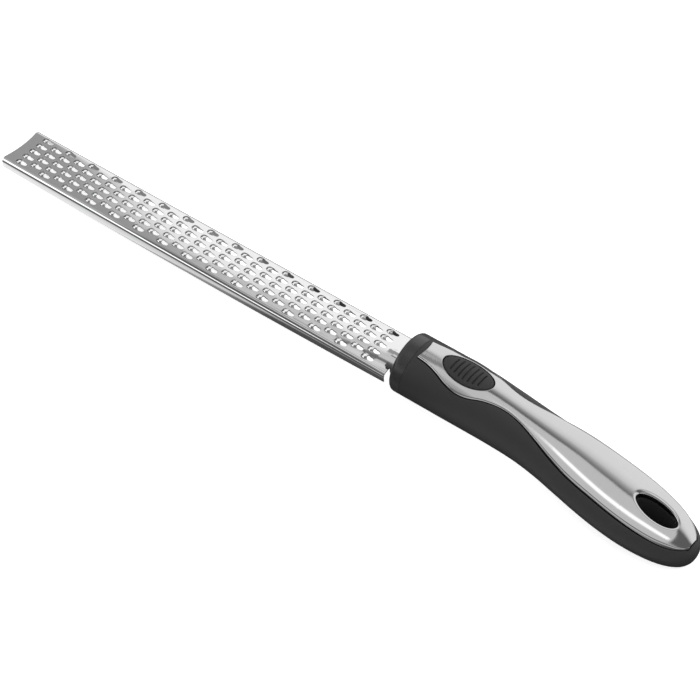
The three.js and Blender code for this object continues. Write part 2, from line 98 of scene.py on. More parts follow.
class Wire:
    """A node's output that can be used in sums."""

    def __init__(self, graph: "Graph", node: bpy.types.Node, output: Key = 0) -> None:
        """Keeps one of a node's outputs, where it has any."""
        self.graph, self.node = graph, node
        self.socket = node.outputs[output] if len(node.outputs) else None

    def out(self, output: Key) -> "Wire":
        """Another output of the same node."""
        return Wire(self.graph, self.node, output)

    def rise(self, low: "Value", high: "Value") -> "Wire":
        """Rises softly from 0 to 1 while the wire goes from low to high."""
        bounds = {"Value": self, "From Min": low, "From Max": high}
        return self.graph.add("ShaderNodeMapRange", bounds, interpolation_type="SMOOTHSTEP")

    def blend(self, below: "Value", above: "Value") -> "Wire":
        """Goes from one level to another, with the wire as the share."""
        return self * above + (1 - self) * below

    def __add__(self, other: "Value") -> "Wire":
        """Sum."""
        return self.graph.math("ADD", self, other)

    def __sub__(self, other: "Value") -> "Wire":
        """Difference."""
        return self.graph.math("SUBTRACT", self, other)

    def __rsub__(self, other: "Value") -> "Wire":
        """Difference with the wire on the right."""
        return self.graph.math("SUBTRACT", other, self)

    def __mul__(self, other: "Value") -> "Wire":
        """Product."""
        return self.graph.math("MULTIPLY", self, other)

    def __truediv__(self, other: "Value") -> "Wire":
        """Quotient."""
        return self.graph.math("DIVIDE", self, other)

    __radd__ = __add__
    __rmul__ = __mul__


Value = Union[Wire, Number]


class Graph:
    """Makes the nodes of one tree."""

    def __init__(self, tree: bpy.types.NodeTree) -> None:
        """Starts on an emptied tree."""
        tree.nodes.clear()
        self.tree = tree

    def add(self, kind: str, inputs: Optional[dict[Key, Any]] = None, **settings: Any) -> Wire:
        """Adds a node.

        Args:
            kind: The node's type.
            inputs: Values or wires by socket name or number.
            settings: The node's own properties, set first.

        Returns:
            The node's first output.
        """
        node = self.tree.nodes.new(kind)
        for key, value in settings.items():
            setattr(node, key, value)
        for key, value in (inputs or {}).items():
            if isinstance(value, Wire):
                self.tree.links.new(value.socket, node.inputs[key])
            else:
                node.inputs[key].default_value = value
        return Wire(self, node)

    def math(self, operation: str, *values: Value) -> Wire:
        """Adds a Math node."""
        return self.add("ShaderNodeMath", dict(enumerate(values)), operation=operation)

    def mix(self, share: Value, first: Any, second: Any) -> Wire:
        """Mixes two colours."""
        return self.add("ShaderNodeMix", {0: share, 6: first, 7: second}, data_type="RGBA").out(2)

    def split(self, vector: Wire) -> tuple[Wire, Wire, Wire]:
        """Gives the three parts of a vector."""
        parts = self.add("ShaderNodeSeparateXYZ", {0: vector})
        return parts, parts.out(1), parts.out(2)

    def join(self, x: Value = 0.0, y: Value = 0.0, z: Value = 0.0) -> Wire:
        """Makes a vector of its three parts."""
        return self.add("ShaderNodeCombineXYZ", {0: x, 1: y, 2: z})

    def climb(self, at: Wire, stops: Stops) -> Wire:
        """Follows a ramp of greys.

        Args:
            at: Place on the ramp.
            stops: Places and grey levels of the ramp's stops.

        Returns:
            The grey level there.
        """
        made = self.add("ShaderNodeValToRGB", {0: at})
        ramp = made.node.color_ramp
        while len(ramp.elements) < len(stops):
            ramp.elements.new(1.0)
        for element, (place, level) in zip(ramp.elements, stops):
            element.position = place
            element.color = grey(level)
        return made


def grey(level: float) -> tuple[float, float, float, float]:
    """An opaque grey."""
    return level, level, level, 1.0


@dataclass(frozen=True)
class Finish:
    """A procedural surface: two close tones, a gloss that varies and a fine relief."""

    name: str
    tone: float
    spread: float
    rough: float
    rough_spread: float
    grain_size: float
    relief: float
    cloud_size: float = 9.0
    metallic: float = 0.0
    grain: Grain = Grain.NONE
    streak_share: float = 0.6
    streak_detail: float = 3.0
    cloud_detail: float = 2.0

    def material(self) -> bpy.types.Material:
        """Makes the material.

        Returns:
            A node material that reads Object coordinates.
        """
        made = bpy.data.materials.new(self.name)
        made.use_nodes = True
        graph = Graph(made.node_tree)
        place = graph.add("ShaderNodeTexCoord").out("Object")
        drawn = graph.add("ShaderNodeMapping", {"Vector": place, "Scale": self.grain.value})
        streak, cloud = (
            graph.add("ShaderNodeTexNoise", {
                "Vector": at, "Scale": 1 / (size * MM), "Detail": detail,
            })
            for at, size, detail in (
                (drawn, self.grain_size, self.streak_detail),
                (place, self.cloud_size, self.cloud_detail),
            )
        )
        share = streak * self.streak_share + cloud * (1 - self.streak_share)
        dark, light = (grey(self.tone * (1 + side * self.spread)) for side in (-1, 1))
        surface = graph.add("ShaderNodeBsdfPrincipled", {
            "Base Color": graph.mix(share, dark, light),
            "Roughness": self.rough + self.rough_spread * (share - 0.5),
            "Metallic": self.metallic,
            "Normal": graph.add("ShaderNodeBump", {
                "Strength": 1.0, "Distance": self.relief * MM, "Height": streak,
            }),
        })
        graph.add("ShaderNodeOutputMaterial", {"Surface": surface})
        return made


@dataclass
class Palette:
    """All finishes of the tool, made once."""

    made: dict[str, bpy.types.Material] = field(default_factory=dict)
    blade: Finish = Finish(
        "polished_blade_steel", tone=0.62, spread=0.03, rough=0.07, rough_spread=0.05,
        grain_size=0.15, relief=0.0003, cloud_size=6.0, metallic=1.0, grain=Grain.LENGTHWISE,
    )
    spine: Finish = Finish(
        "cross_brushed_steel", tone=0.46, spread=0.05, rough=0.085, rough_spread=0.04,
        grain_size=0.16, relief=0.008, cloud_size=12.0, metallic=1.0, grain=Grain.CROSSWISE,
    )
    grip: Finish = Finish(
        "soft_touch_rubber", tone=0.023, spread=0.12, rough=0.58, rough_spread=0.12,
        grain_size=0.12, relief=0.012,
    )
    collar: Finish = Finish(
        "moulded_collar", tone=0.03, spread=0.1, rough=0.28, rough_spread=0.1,
        grain_size=0.2, relief=0.006,
    )
    pad: Finish = Finish(
        "thumb_rubber", tone=0.018, spread=0.1, rough=0.6, rough_spread=0.1,
        grain_size=0.14, relief=0.01,
    )
    liner: Finish = Finish(
        "hole_liner", tone=0.034, spread=0.1, rough=0.55, rough_spread=0.1,
        grain_size=0.2, relief=0.006,
    )
    core: Finish = Finish(
        "core_moulding", tone=0.06, spread=0.1, rough=0.6, rough_spread=0.1,
        grain_size=0.25, relief=0.01,
    )
    hardware: Finish = Finish(
        "turned_steel", tone=0.5, spread=0.06, rough=0.35, rough_spread=0.1,
        grain_size=0.2, relief=0.002, cloud_size=4.0, metallic=1.0, grain=Grain.CROSSWISE,
    )

    def get(self, finish: Finish) -> bpy.types.Material:
        """Gives the material of a finish.

        Args:
            finish: The finish.

        Returns:
            Its material, made the first time.
        """
        if finish.name not in self.made:
            self.made[finish.name] = finish.material()
        return self.made[finish.name]


@dataclass(frozen=True)
class ToolFrame:
    """Where the tool lies: leaned back until the tip and the tail's belly touch the floor."""

    lean: float
    start: float
    lift: float

    def lay(self, points: np.ndarray) -> np.ndarray:
        """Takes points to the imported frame.

        Args:
            points: Points in the tool frame, in millimetres.

        Returns:
            The points in metres.
        """
        x, y, z = points.T
        cos, sin = math.cos(self.lean), math.sin(self.lean)
        return np.column_stack((
            (x * cos - z * sin) * MM + self.start,
            y * MM,
            (x * sin + z * cos) * MM + self.lift,
        ))


@dataclass
class Skin:
    """A sheet of faces with an outer and an inner point at each place."""

    outer: list[tuple[float, float, float]] = field(default_factory=list)
    inner: list[tuple[float, float, float]] = field(default_factory=list)
    faces: Faces = field(default_factory=list)

    def add(self, outer: np.ndarray, inner: np.ndarray, faces: Faces) -> None:
        """Adds a part of the sheet.

        Args:
            outer: Points of its outer side.
            inner: Points of its inner side, in the same order.
            faces: Faces on these points, numbered from 0.
        """
        base = len(self.outer)
        self.outer.extend(map(tuple, outer))
        self.inner.extend(map(tuple, inner))
        self.faces.extend(tuple(base + i for i in face) for face in faces)

    def solid(self) -> tuple[np.ndarray, Faces]:
        """Closes the sheet.

        Returns:
            Points and faces of the outer side, the inner side and the walls between them.
        """
        outer, inner = np.array(self.outer), np.array(self.inner)
        first, known = np.unique(self._same_places(outer), return_inverse=True)
        count = len(first)
        faces: Faces = []
        for face in self.faces:
            merged = [int(known[i]) for i in face]
            clean = [v for i, v in enumerate(merged) if v != merged[i - 1]]
            if len(set(clean)) > 2:
                faces.append(tuple(clean))
        edges = [(f[i - 1], f[i]) for f in faces for i in range(len(f))]
        used = set(edges)
        walls = [(b, a, a + count, b + count) for a, b in edges if (b, a) not in used]
        back = [tuple(v + count for v in reversed(f)) for f in faces]
        return np.vstack((outer[first], inner[first])), faces + back + walls

    @staticmethod
    def _same_places(points: np.ndarray) -> np.ndarray:
        """Finds points at one place.

        Args:
            points: The points.

        Returns:
            Number of the first point at each point's place.
        """
        tree = KDTree(len(points))
        for i, point in enumerate(points):
            tree.insert(point, i)
        tree.balance()
        first = np.full(len(points), -1)
        for i, point in enumerate(points):
            if first[i] < 0:
                for _, other, _ in tree.find_range(point, MERGE):
                    if first[other] < 0:
                        first[other] = i
        return first


def grid_faces(rows: int, columns: int) -> Faces:
    """Makes the quads of a grid.

    Args:
        rows: Number of the grid's rows.
        columns: Number of points in a row, which follow each other.

    Returns:
        The quads.
    """
    return [
        (r * columns + c, (r + 1) * columns + c, (r + 1) * columns + c + 1, r * columns + c + 1)
        for r in range(rows - 1)
        for c in range(columns - 1)
    ]


def ring_faces(rings: int, count: int, closed: bool = False) -> Faces:
    """Makes the quads between rings of points.

    Args:
        rings: Number of rings.
        count: Number of points in a ring.
        closed: Whether the last ring is joined to the first.

    Returns:
        The quads.
    """
    return [
        (
            r * count + i,
            r * count + (i + 1) % count,
            (r + 1) % rings * count + (i + 1) % count,
            (r + 1) % rings * count + i,
        )
        for r in range(rings if closed else rings - 1)
        for i in range(count)
    ]


def link_mesh(name: str, points: np.ndarray, faces: Faces) -> bpy.types.Object:
    """Makes an object in the scene.

    Args:
        name: Name of the object and of its mesh.
        points: Points of the mesh.
        faces: Faces on those points.

    Returns:
        The object.
    """
    mesh = bpy.data.meshes.new(name)
    mesh.from_pydata(points.tolist(), [], faces)
    thing = bpy.data.objects.new(name, mesh)
    bpy.context.scene.collection.objects.link(thing)
    return thing


def settle(thing: bpy.types.Object) -> None:
    """Applies an object's modifiers to its mesh.

    Args:
        thing: The object.
    """
    graph = bpy.context.evaluated_depsgraph_get()
    made = bpy.data.meshes.new_from_object(thing.evaluated_get(graph))
    thing.modifiers.clear()
    thing.data = made


def ease(share: np.ndarray) -> np.ndarray:
    """Soft step from 0 to 1."""
    held = np.clip(share, 0, 1)
    return held**2 * (3 - 2 * held)


def smooth_curve(places: Sequence[float], values: Sequence[float], at: np.ndarray) -> np.ndarray:
    """Smooth curve through measured values.

    Args:
        places: Where the values were measured.
        values: The values.
        at: Where the curve is wanted.

    Returns:
        The curve's values there.
    """
    x, v = np.array(places, float), np.array(values, float)
    low = np.maximum(np.arange(len(x)) - 1, 0)
    high = np.minimum(np.arange(len(x)) + 1, len(x) - 1)
    slope = (v[high] - v[low]) / (x[high] - x[low])
    inside = np.clip(at, x[0], x[-1])
    i = np.clip(np.searchsorted(x, inside, side="left") - 1, 0, len(x) - 2)
    span = x[i + 1] - x[i]
    t = (inside - x[i]) / span
    start = v[i] * (1 - 3 * t**2 + 2 * t**3)
    end = v[i + 1] * (3 * t**2 - 2 * t**3)
    leave = slope[i] * span * (t - 2 * t**2 + t**3)
    arrive = slope[i + 1] * span * (t**3 - t**2)
    return start + end + leave + arrive


@dataclass
class Workshop:
    """Turns points and faces into finished pieces of the tool."""

    place: ToolFrame
    palette: Palette
    weld: float = 0.001
    bevel_angle: float = 50.0
    bevel_steps: int = 2

    def piece(
        self,
        name: str,
        points: np.ndarray,
        faces: Faces,
        finish: Finish,
        sharp: float = 40.0,
        bevel: float = 0.0,
    ) -> bpy.types.Object:
        """Makes one object at the origin, with its place in its mesh.

        Args:
            name: Name of the piece.
            points: Points in the tool frame.
            faces: Faces on those points.
            finish: Finish of the whole piece.
            sharp: Edges above this angle in degrees stay sharp.
            bevel: Rounding of the edges above the bevel angle.

        Returns:
            The object.
        """
        thing = link_mesh(name, self.place.lay(points), faces)
        work = bmesh.new()
        work.from_mesh(thing.data)
        bmesh.ops.remove_doubles(work, verts=work.verts, dist=self.weld * MM)
        bmesh.ops.recalc_face_normals(work, faces=work.faces)
        work.to_mesh(thing.data)
        work.free()
        if bevel:
            rounding = thing.modifiers.new("edges", "BEVEL")
            rounding.width = bevel * MM
            rounding.segments = self.bevel_steps
            rounding.limit_method = "ANGLE"
            rounding.angle_limit = math.radians(self.bevel_angle)
            settle(thing)
        thing.data.materials.clear()
        thing.data.materials.append(self.palette.get(finish))
        self.shade(thing, sharp)
        return thing

    @staticmethod
    def shade(thing: bpy.types.Object, sharp: float) -> None:
        """Shades a piece smooth, apart from edges above an angle in degrees."""
        thing.data.shade_smooth()
        thing.data.set_sharp_from_angle(angle=math.radians(sharp))

    @staticmethod
    def mount(thing: bpy.types.Object, node: str, slot: Slot) -> None:
        """Lets a piece stand for a solid of the frame.

        Args:
            thing: The piece.
            node: Name of the solid's node.
            slot: The piece's material slot; not used.
        """
        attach(thing, BODY)
        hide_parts(node)
        log.info("%s: %d faces, for %s", thing.name, len(thing.data.polygons), node)


class NodeShape:
    """A Geometry Nodes tree with named inputs, run once on a mesh."""

    def __init__(self, name: str, sizes: dict[str, Number]) -> None:
        """Makes the tree's sockets.

        Args:
            name: Name of the tree.
            sizes: Named inputs with their values; whole numbers become integer sockets.
        """
        self.tree = bpy.data.node_groups.new(name, "GeometryNodeTree")
        self.sizes = sizes
        self._socket("Geometry", "Geometry")
        self.keys = {
            key: self._socket(key, "Int" if isinstance(value, int) else "Float")
            for key, value in sizes.items()
        }
        self.keys["Material"] = self._socket("Material", "Material")
        self._socket("Geometry", "Geometry", "OUTPUT")
        self.graph = Graph(self.tree)
        self.given = self.graph.add("NodeGroupInput")

    def _socket(self, name: str, kind: str, side: str = "INPUT") -> str:
        """Adds a socket to the tree and gives its key."""
        add = self.tree.interface.new_socket
        return add(name, in_out=side, socket_type=f"NodeSocket{kind}").identifier

    def size(self, name: str) -> Wire:
        """One of the tree's inputs."""
        return self.given.out(name)

    def end(self, shape: Wire) -> None:
        """Makes a shape, with its material, the tree's result.

        Args:
            shape: The shape.
        """
        real = self.graph.add("GeometryNodeRealizeInstances", {"Geometry": shape})
        dressed = self.graph.add("GeometryNodeSetMaterial", {
            "Geometry": real, "Material": self.size("Material"),
        })
        self.graph.add("NodeGroupOutput", {"Geometry": dressed})

    def run(
        self, points: np.ndarray, faces: Faces, material: bpy.types.Material
    ) -> tuple[np.ndarray, Faces]:
        """Runs the tree on a mesh.

        Args:
            points: Points of the mesh.
            faces: Faces of the mesh.
            material: Material that the tree sets.

        Returns:
            Points and faces of the result.
        """
        thing = link_mesh(self.tree.name, points, faces)
        modifier = thing.modifiers.new("shape", "NODES")
        modifier.node_group = self.tree
        for key, value in {**self.sizes, "Material": material}.items():
            modifier[self.keys[key]] = value
        settle(thing)
        made = thing.data
        found = np.array([v.co for v in made.vertices], float)
        polygons = [tuple(p.vertices) for p in made.polygons]
        bpy.data.objects.remove(thing)
        bpy.data.meshes.remove(made)
        return found, polygons


@dataclass(frozen=True)
class Tooth:
    """One cell of the toothed sheet: a hole and the hood raised on its tip side."""

    hole_length: float = 2.9
    hole_width: float = 1.9
    hood_length: float = 2.8
    hood_height: float = 0.95
    hood_shares: tuple[float, ...] = (0.0, 0.4, 0.7, 0.9, 1.0)
    hood_rise: float = 0.35  # share of the hood's profile that is straight
    hood_full: float = 3.0  # powers that round the rest of it
    hood_bow: float = 0.6
    arch_bow: float = 0.75  # power that rounds the hood's arch
    hood_flare: float = 1.4  # how much wider the hood's foot is than its arch
    front_full: float = 0.78  # power that squares the hole's front
    space: float = 0.8  # plain steel in a cell's length
    side_steps: int = 4

    @property
    def pitch(self) -> float:
        """Length of a cell along the blade."""
        return self.hood_length + self.hole_length + self.space

    @property
    def back(self) -> float:
        """Distance from the hole's middle to the cell's tip side."""
        return self.hole_length / 2 + self.hood_length + self.space / 2

    @property
    def foot(self) -> float:
        """Place of the hood's two feet beside the hole."""
        return -self.hole_length / 4

    def border(self, half: float) -> np.ndarray:
        """Goes round the cell, from beside one foot over the tip side and back.

        Args:
            half: Half of the cell's width.

        Returns:
            Places along and across.
        """
        tip, root = -self.back, self.pitch - self.back
        corners = (
            (self.foot, -half), (tip, -half), (tip, half), (self.foot, half), (root, half),
            (root, -half), (self.foot, -half),
        )
        return np.vstack([
            np.linspace(a, b, self.side_steps, endpoint=False) for a, b in zip(corners, corners[1:])
        ])

    def cell(self, half: float) -> tuple[np.ndarray, Faces]:
        """Builds the cell.

        Args:
            half: Half of the cell's width.

        Returns:
            Points as place along, place across and lift, and their faces.
        """
        steps = 3 * self.side_steps
        turn = np.pi * np.arange(steps) / steps
        wide, long = self.hole_width / 2, self.hole_length / 2
        across = -wide * np.cos(turn)
        bow = np.sin(turn)
        arch = np.column_stack((self.foot + self.foot * bow, across))
        flared = across * (1 + self.hood_flare * bow)
        foot = np.column_stack((self.foot - (long + self.hood_length + self.foot) * bow, flared))
        blunt = wide * np.sign(np.cos(turn)) * np.abs(np.cos(turn)) ** self.front_full
        ahead = self.foot + (long - self.foot) * bow**self.front_full
        rim = np.column_stack((ahead, blunt, np.zeros(steps)))
        rings = []
        for share in self.hood_shares:
            dome = (1 - share**self.hood_full) ** self.hood_bow
            level = self.hood_height * (dome + (1 - share - dome) * self.hood_rise)
            hood = np.column_stack((arch + (foot - arch) * share, level * bow**self.arch_bow))
            rings.append(np.vstack((hood, rim)))
        rings.append(np.column_stack((self.border(half), np.zeros(2 * steps))))
        return np.vstack(rings), ring_faces(len(rings), 2 * steps)


@dataclass
class Blade:
    """Toothed steel sheet with folded flanges, and the tang that the handle holds."""

    shop: Workshop
    length: float = 203.0
    deck_width: float = 22.8
    sheet: float = 0.5
    bend_radius: float = 2.0
    bend_steps: int = 12
    flange_depth: float = 4.6
    flange_belly: float = 1.0  # extra depth halfway along
    flange_stop: float = 2.6  # before the handle
    flange_shares: tuple[float, ...] = (0.12, 0.55, 1.0)
    hem_least: float = 0.6  # radius of the hem at the tip
    hem_growth: float = 3.4  # and what it gains towards the handle
    hem_turn: float = 0.45  # in radians
    hem_steps: int = 4
    deck_crown: float = 0.8  # rise of the middle line at the handle
    edge_fall: float = 0.16  # roll-off beside the folds
    edge_growth: float = 4.0
    edge_power: int = 8
    tip_hollow: float = 1.0
    tip_steps: int = 4
    main_rows: int = 5
    main_columns: int = 15
    first_hole: float = 9.8
    side_margin: float = 0.33  # between the outer holes and the fold
    tang_length: float = 45.0
    tang_width: float = 12.4
    tang_row: int = 3  # row line that turns into the tang's edge
    tang_shown: float = 4.0  # finely divided part inside the mouth
    tang_steps: int = 5
    neck_steps: int = 8
    rib_width: float = 2.6
    rib_height: float = 0.55
    rib_start: float = 194.6
    rib_nose: float = 3.0
    tooth: Tooth = Tooth()
    skin: Skin = field(default_factory=Skin)

    @property
    def flat_half(self) -> float:
        """Half width of the deck between its folds."""
        return self.deck_width / 2 - self.bend_radius

    @property
    def bend_run(self) -> float:
        """Length of the outer skin round a fold."""
        return self.bend_radius * math.pi / 2

    @property
    def flange_run(self) -> float:
        """Height of the flanges below their bend."""
        return self.flange_depth - self.bend_radius

    @property
    def shoulder(self) -> float:
        """End of the flanges."""
        return self.length - self.flange_stop

    @property
    def row_pitch(self) -> float:
        """Distance between neighbouring rows of teeth."""
        outer = self.flat_half - self.side_margin - self.tooth.hole_width / 2
        return outer / (self.main_rows - 1)

    @property
    def columns(self) -> int:
        """Number of the teeth's columns."""
        return 2 * self.main_columns - 1

    @property
    def start(self) -> float:
        """Where the toothed field starts."""
        return self.first_hole - self.tooth.back

    @property
    def rows(self) -> np.ndarray:
        """Divides the deck across.

        Returns:
            Places across of the grid lines between the folds.
        """
        steps = 2 * self.main_rows
        lines = np.arange(-steps, steps + 1) * self.row_pitch / 2
        return np.clip(lines, -self.flat_half, self.flat_half)

    @property
    def folds(self) -> np.ndarray:
        """Divides a flange, laid flat, from the fold to the hem's edge.

        Returns:
            Places across of its grid lines.
        """
        bend = self.flat_half + np.linspace(0, self.bend_run, self.bend_steps + 1)
        straight = self.flange_run * np.array(self.flange_shares)
        hem = self.flange_run + np.linspace(0, 1, self.hem_steps + 1)[1:]
        return np.concatenate((bend, bend[-1] + straight, bend[-1] + hem))

    @property
    def lines(self) -> np.ndarray:
        """All grid lines across the flat sheet."""
        return np.concatenate((-self.folds[:0:-1], self.rows, self.folds[1:]))

    def fold(self, flat: np.ndarray, depth: float) -> np.ndarray:
        """Folds the flat sheet.

        Args:
            flat: Place along, place across and lift of each point.
            depth: Depth of the points in the steel.

        Returns:
            Points in the tool frame.
        """
        x, s, lift = flat.T
        past = np.abs(s) - self.flat_half
        part = np.clip(np.abs(s) / self.flat_half, 0, 1)
        along = np.clip(x / self.length, 0, 1)
        rise = self.deck_crown * along**2 * (1 - part**2)
        rise += self.edge_fall * np.clip(along * self.edge_growth, 0, 1) * (1 - part**self.edge_power)
        turn = np.clip(past, 0, self.bend_run) / self.bend_radius
        belly = self.flange_belly * (1 - (2 * x / self.shoulder - 1) ** 2)
        hem = self.hem_least + self.hem_growth * along**2
        curl = np.clip(past - self.bend_run - self.flange_run, 0, 1) * self.hem_turn
        tall = self.flange_run + belly - hem * math.sin(self.hem_turn)
        straight = np.clip((past - self.bend_run) / self.flange_run, 0, 1) * tall
        radius = self.bend_radius - depth
        tuck = (hem - depth) * (1 - np.cos(curl))
        side = np.sign(s) * (self.flat_half + radius * np.sin(turn) - tuck)
        drop = radius * np.cos(turn) - self.bend_radius - straight - (hem - depth) * np.sin(curl)
        y = np.where(past > TINY, side, s)
        z = np.where(past > TINY, drop, rise - depth)
        return np.column_stack((x, y, z + lift))

    def toothed_field(self) -> tuple[np.ndarray, Faces]:
        """Sets the staggered rows of teeth with Geometry Nodes.

        Returns:
            Points of the flat field, as place along, place across and lift, and its faces.
        """
        shape = NodeShape("toothed_field", {
            "Column Pitch": self.tooth.pitch,
            "Row Pitch": self.row_pitch,
            "Main Columns": self.main_columns,
            "Main Rows": self.main_rows,
            "First Hole": self.first_hole,
            "Deck Half": self.flat_half,
        })
        graph = shape.graph

        def field_points(fewer: int, start: Wire) -> Wire:
            """Makes the places of one set of rows.

            Args:
                fewer: How many rows and columns it has less than the main set.
                start: Place of its first column.

            Returns:
                A grid of points.
            """
            columns = shape.size("Main Columns") - fewer
            rows = shape.size("Main Rows") - fewer
            span = (columns - 1) * (2.0 * shape.size("Column Pitch"))
            points = graph.add("GeometryNodeMeshGrid", {
                "Size X": span,
                "Size Y": (rows - 1) * (2.0 * shape.size("Row Pitch")),
                "Vertices X": columns,
                "Vertices Y": rows,
            })
            shift = graph.join(start + span * 0.5)
            return graph.add("GeometryNodeTransform", {"Geometry": points, "Translation": shift})

        main = field_points(0, shape.size("First Hole"))
        between = field_points(1, shape.size("First Hole") + shape.size("Column Pitch"))
        joined = graph.add("GeometryNodeJoinGeometry", {0: between})
        shape.tree.links.new(main.socket, joined.node.inputs[0])
        teeth = graph.add("GeometryNodeInstanceOnPoints", {
            "Points": joined, "Instance": shape.size("Geometry"),
        })
        real = graph.add("GeometryNodeRealizeInstances", {"Geometry": teeth})
        x, y, z = graph.split(graph.add("GeometryNodeInputPosition"))
        half = shape.size("Deck Half")
        held = graph.math("MAXIMUM", graph.math("MINIMUM", y, half), 0.0 - half)
        shape.end(graph.add("GeometryNodeSetPosition", {
            "Geometry": real, "Position": graph.join(x, held, z),
        }))
        palette = self.shop.palette
        return shape.run(*self.tooth.cell(self.row_pitch), palette.get(palette.blade))

    def add_sheet(self, flat: np.ndarray, faces: Faces) -> None:
        """Folds a part of the flat sheet and adds both of its sides."""
        self.skin.add(self.fold(flat, 0.0), self.fold(flat, self.sheet), faces)

    def add_grid(self, x: np.ndarray, s: np.ndarray) -> None:
        """Adds a grid of plain sheet with the tang's rib raised in it.

        Args:
            x: Places along, as a grid.
            s: Places across, as a grid.
        """
        faces = grid_faces(*x.shape)
        x, s = x.ravel(), s.ravel()
        nose = np.clip((x - self.rib_start) / self.rib_nose, 0, 1)
        width = self.rib_width / 2 * np.sqrt(np.clip(nose * (2 - nose), SPECK, 1))
        bead = np.cos(np.clip(np.abs(s) / width, 0, 1) * np.pi / 2)
        lift = np.where(nose > 0, self.rib_height * np.sqrt(nose) * bead, 0.0)
        self.add_sheet(np.column_stack((x, s, lift)), faces)

    def add_tip(self) -> None:
        """Adds the plain tip with its hollow edge."""
        hollow = self.tip_hollow * np.clip(1 - (self.lines / self.flat_half) ** 2, 0, None)
        x = hollow + (self.start - hollow) * np.linspace(0, 1, self.tip_steps + 1)[:, None]
        self.add_grid(x, np.broadcast_to(self.lines, x.shape))

    def add_sides(self) -> None:
        """Adds the flanges and the plain places at the ends of the shorter rows."""
        tooth, rows = self.tooth, np.abs(self.rows)
        border = tooth.border(self.row_pitch)
        beside = border[border[:, 1] < -self.row_pitch + TINY][:, 0]
        cell = np.unique(np.round(beside, 6)) + tooth.back
        cells = [self.start + column * tooth.pitch + cell for column in range(self.columns)]
        along = np.unique(np.round(np.concatenate(cells), 5))
        edge = np.unique(rows[rows > (self.main_rows - 1) * self.row_pitch - TINY])
        for side in (-1, 1):
            self.add_grid(*np.meshgrid(along, np.sort(side * self.folds), indexing="ij"))
            for places in cells[1::2]:
                self.add_grid(*np.meshgrid(places, np.sort(side * edge), indexing="ij"))

    def add_tang(self) -> None:
        """Adds the plain sheet behind the teeth and the tang."""
        lines, end = self.lines, self.start + self.columns * self.tooth.pitch
        neck = np.append(end, np.linspace(self.rib_start, self.shoulder, self.neck_steps + 1))
        ramp = (neck - end) / (self.shoulder - end)
        tang_half = self.tang_width / 2
        turned = np.abs(np.abs(lines) - self.tang_row * self.row_pitch) < TINY
        shift = np.sign(lines) * (tang_half - np.abs(lines)) * turned
        s = lines + ramp[:, None] * shift
        self.add_grid(np.broadcast_to(neck[:, None], s.shape), s)
        inner = np.abs(lines) < tang_half + TINY
        shown = np.linspace(self.shoulder, self.length + self.tang_shown, self.tang_steps + 1)
        tang = np.append(shown, self.length + self.tang_length)
        self.add_grid(*np.meshgrid(tang, s[-1][inner], indexing="ij"))

    def build(self) -> None:
        """Builds and mounts the blade."""
        self.add_sheet(*self.toothed_field())
        self.add_tip()
        self.add_sides()
        self.add_tang()
        finish = self.shop.palette.blade
        thing = self.shop.piece("rasp_blade", *self.skin.solid(), finish, sharp=38.0)
        self.shop.mount(thing, "grater_blade", Slot.POLISHED_STEEL)


@dataclass(frozen=True)
class HandleForm:
    """Smooth handle outline through measured cuts."""

    mouth: float = 203.0
    places: tuple[float, ...] = (
        0, 17, 27, 37, 47, 57, 67, 77, 87, 97, 107, 117, 124, 128.5, 130.7, 131.3,
    )
    half_widths: tuple[float, ...] = (
        12.6, 12.6, 12.6, 12.4, 12.2, 12.2, 12.9, 14.2, 15.2, 15.6, 15.1, 13.2, 10.5, 7.3, 4, 1.6,
    )
    half_heights: tuple[float, ...] = (
        12.6, 12.7, 12.6, 12.2, 11.5, 10.8, 10.3, 9.9, 9.6, 9.3, 9, 8.3, 7.2, 5.5, 3.2, 1.4,
    )
    drops: tuple[float, ...] = (
        0.1, 0.1, 0.2, 0.6, 1.4, 2.5, 4.1, 6, 8.3, 10.6, 12.8, 14.9, 16.3, 17.1, 17.4, 17.5,
    )
    least: float = 0.3
    tail_power: int = 8

    @property
    def length(self) -> float:
        """Length from the mouth to the tail."""
        return self.places[-1]

    def wide(self, at: np.ndarray) -> np.ndarray:
        """Half width at places from the mouth."""
        return smooth_curve(self.places, self.half_widths, at)

    def high(self, at: np.ndarray) -> np.ndarray:
        """Half height at places from the mouth."""
        return smooth_curve(self.places, self.half_heights, at)

    def drop(self, at: np.ndarray) -> np.ndarray:
        """Drop of the middle line at places from the mouth."""
        return smooth_curve(self.places, self.drops, at)

    def put(self, at: np.ndarray, y: np.ndarray, z: np.ndarray) -> np.ndarray:
        """Points at places from the mouth."""
        return np.column_stack((self.mouth + at, y, z))

    def side(self, at: np.ndarray, y: np.ndarray, offset: Any, up: int = 1) -> np.ndarray:
        """Gives heights on the form.

        Args:
            at: Places from the mouth.
            y: Places across.
            offset: How far the surface is set off from the form.
            up: 1 for the top, -1 for the belly.

        Returns:
            The heights.
        """
        share = 1 - (y / (self.wide(at) + offset)) ** 2
        reach = (self.high(at) + offset) * np.sqrt(np.clip(share, 0, None))
        return up * reach - self.drop(at)

    def ring(self, at: np.ndarray, turn: np.ndarray, offset: np.ndarray) -> np.ndarray:
        """Goes round the form.

        Args:
            at: Places from the mouth.
            turn: Angles from the belly.
            offset: How far the ring is set off from the form.

        Returns:
            Points in the tool frame.
        """
        moved = at + offset * (at / self.length) ** self.tail_power
        wide = np.maximum(self.wide(at) + offset, self.least)
        high = np.maximum(self.high(at) + offset, self.least)
        return self.put(moved, wide * np.sin(turn), -high * np.cos(turn) - self.drop(at))


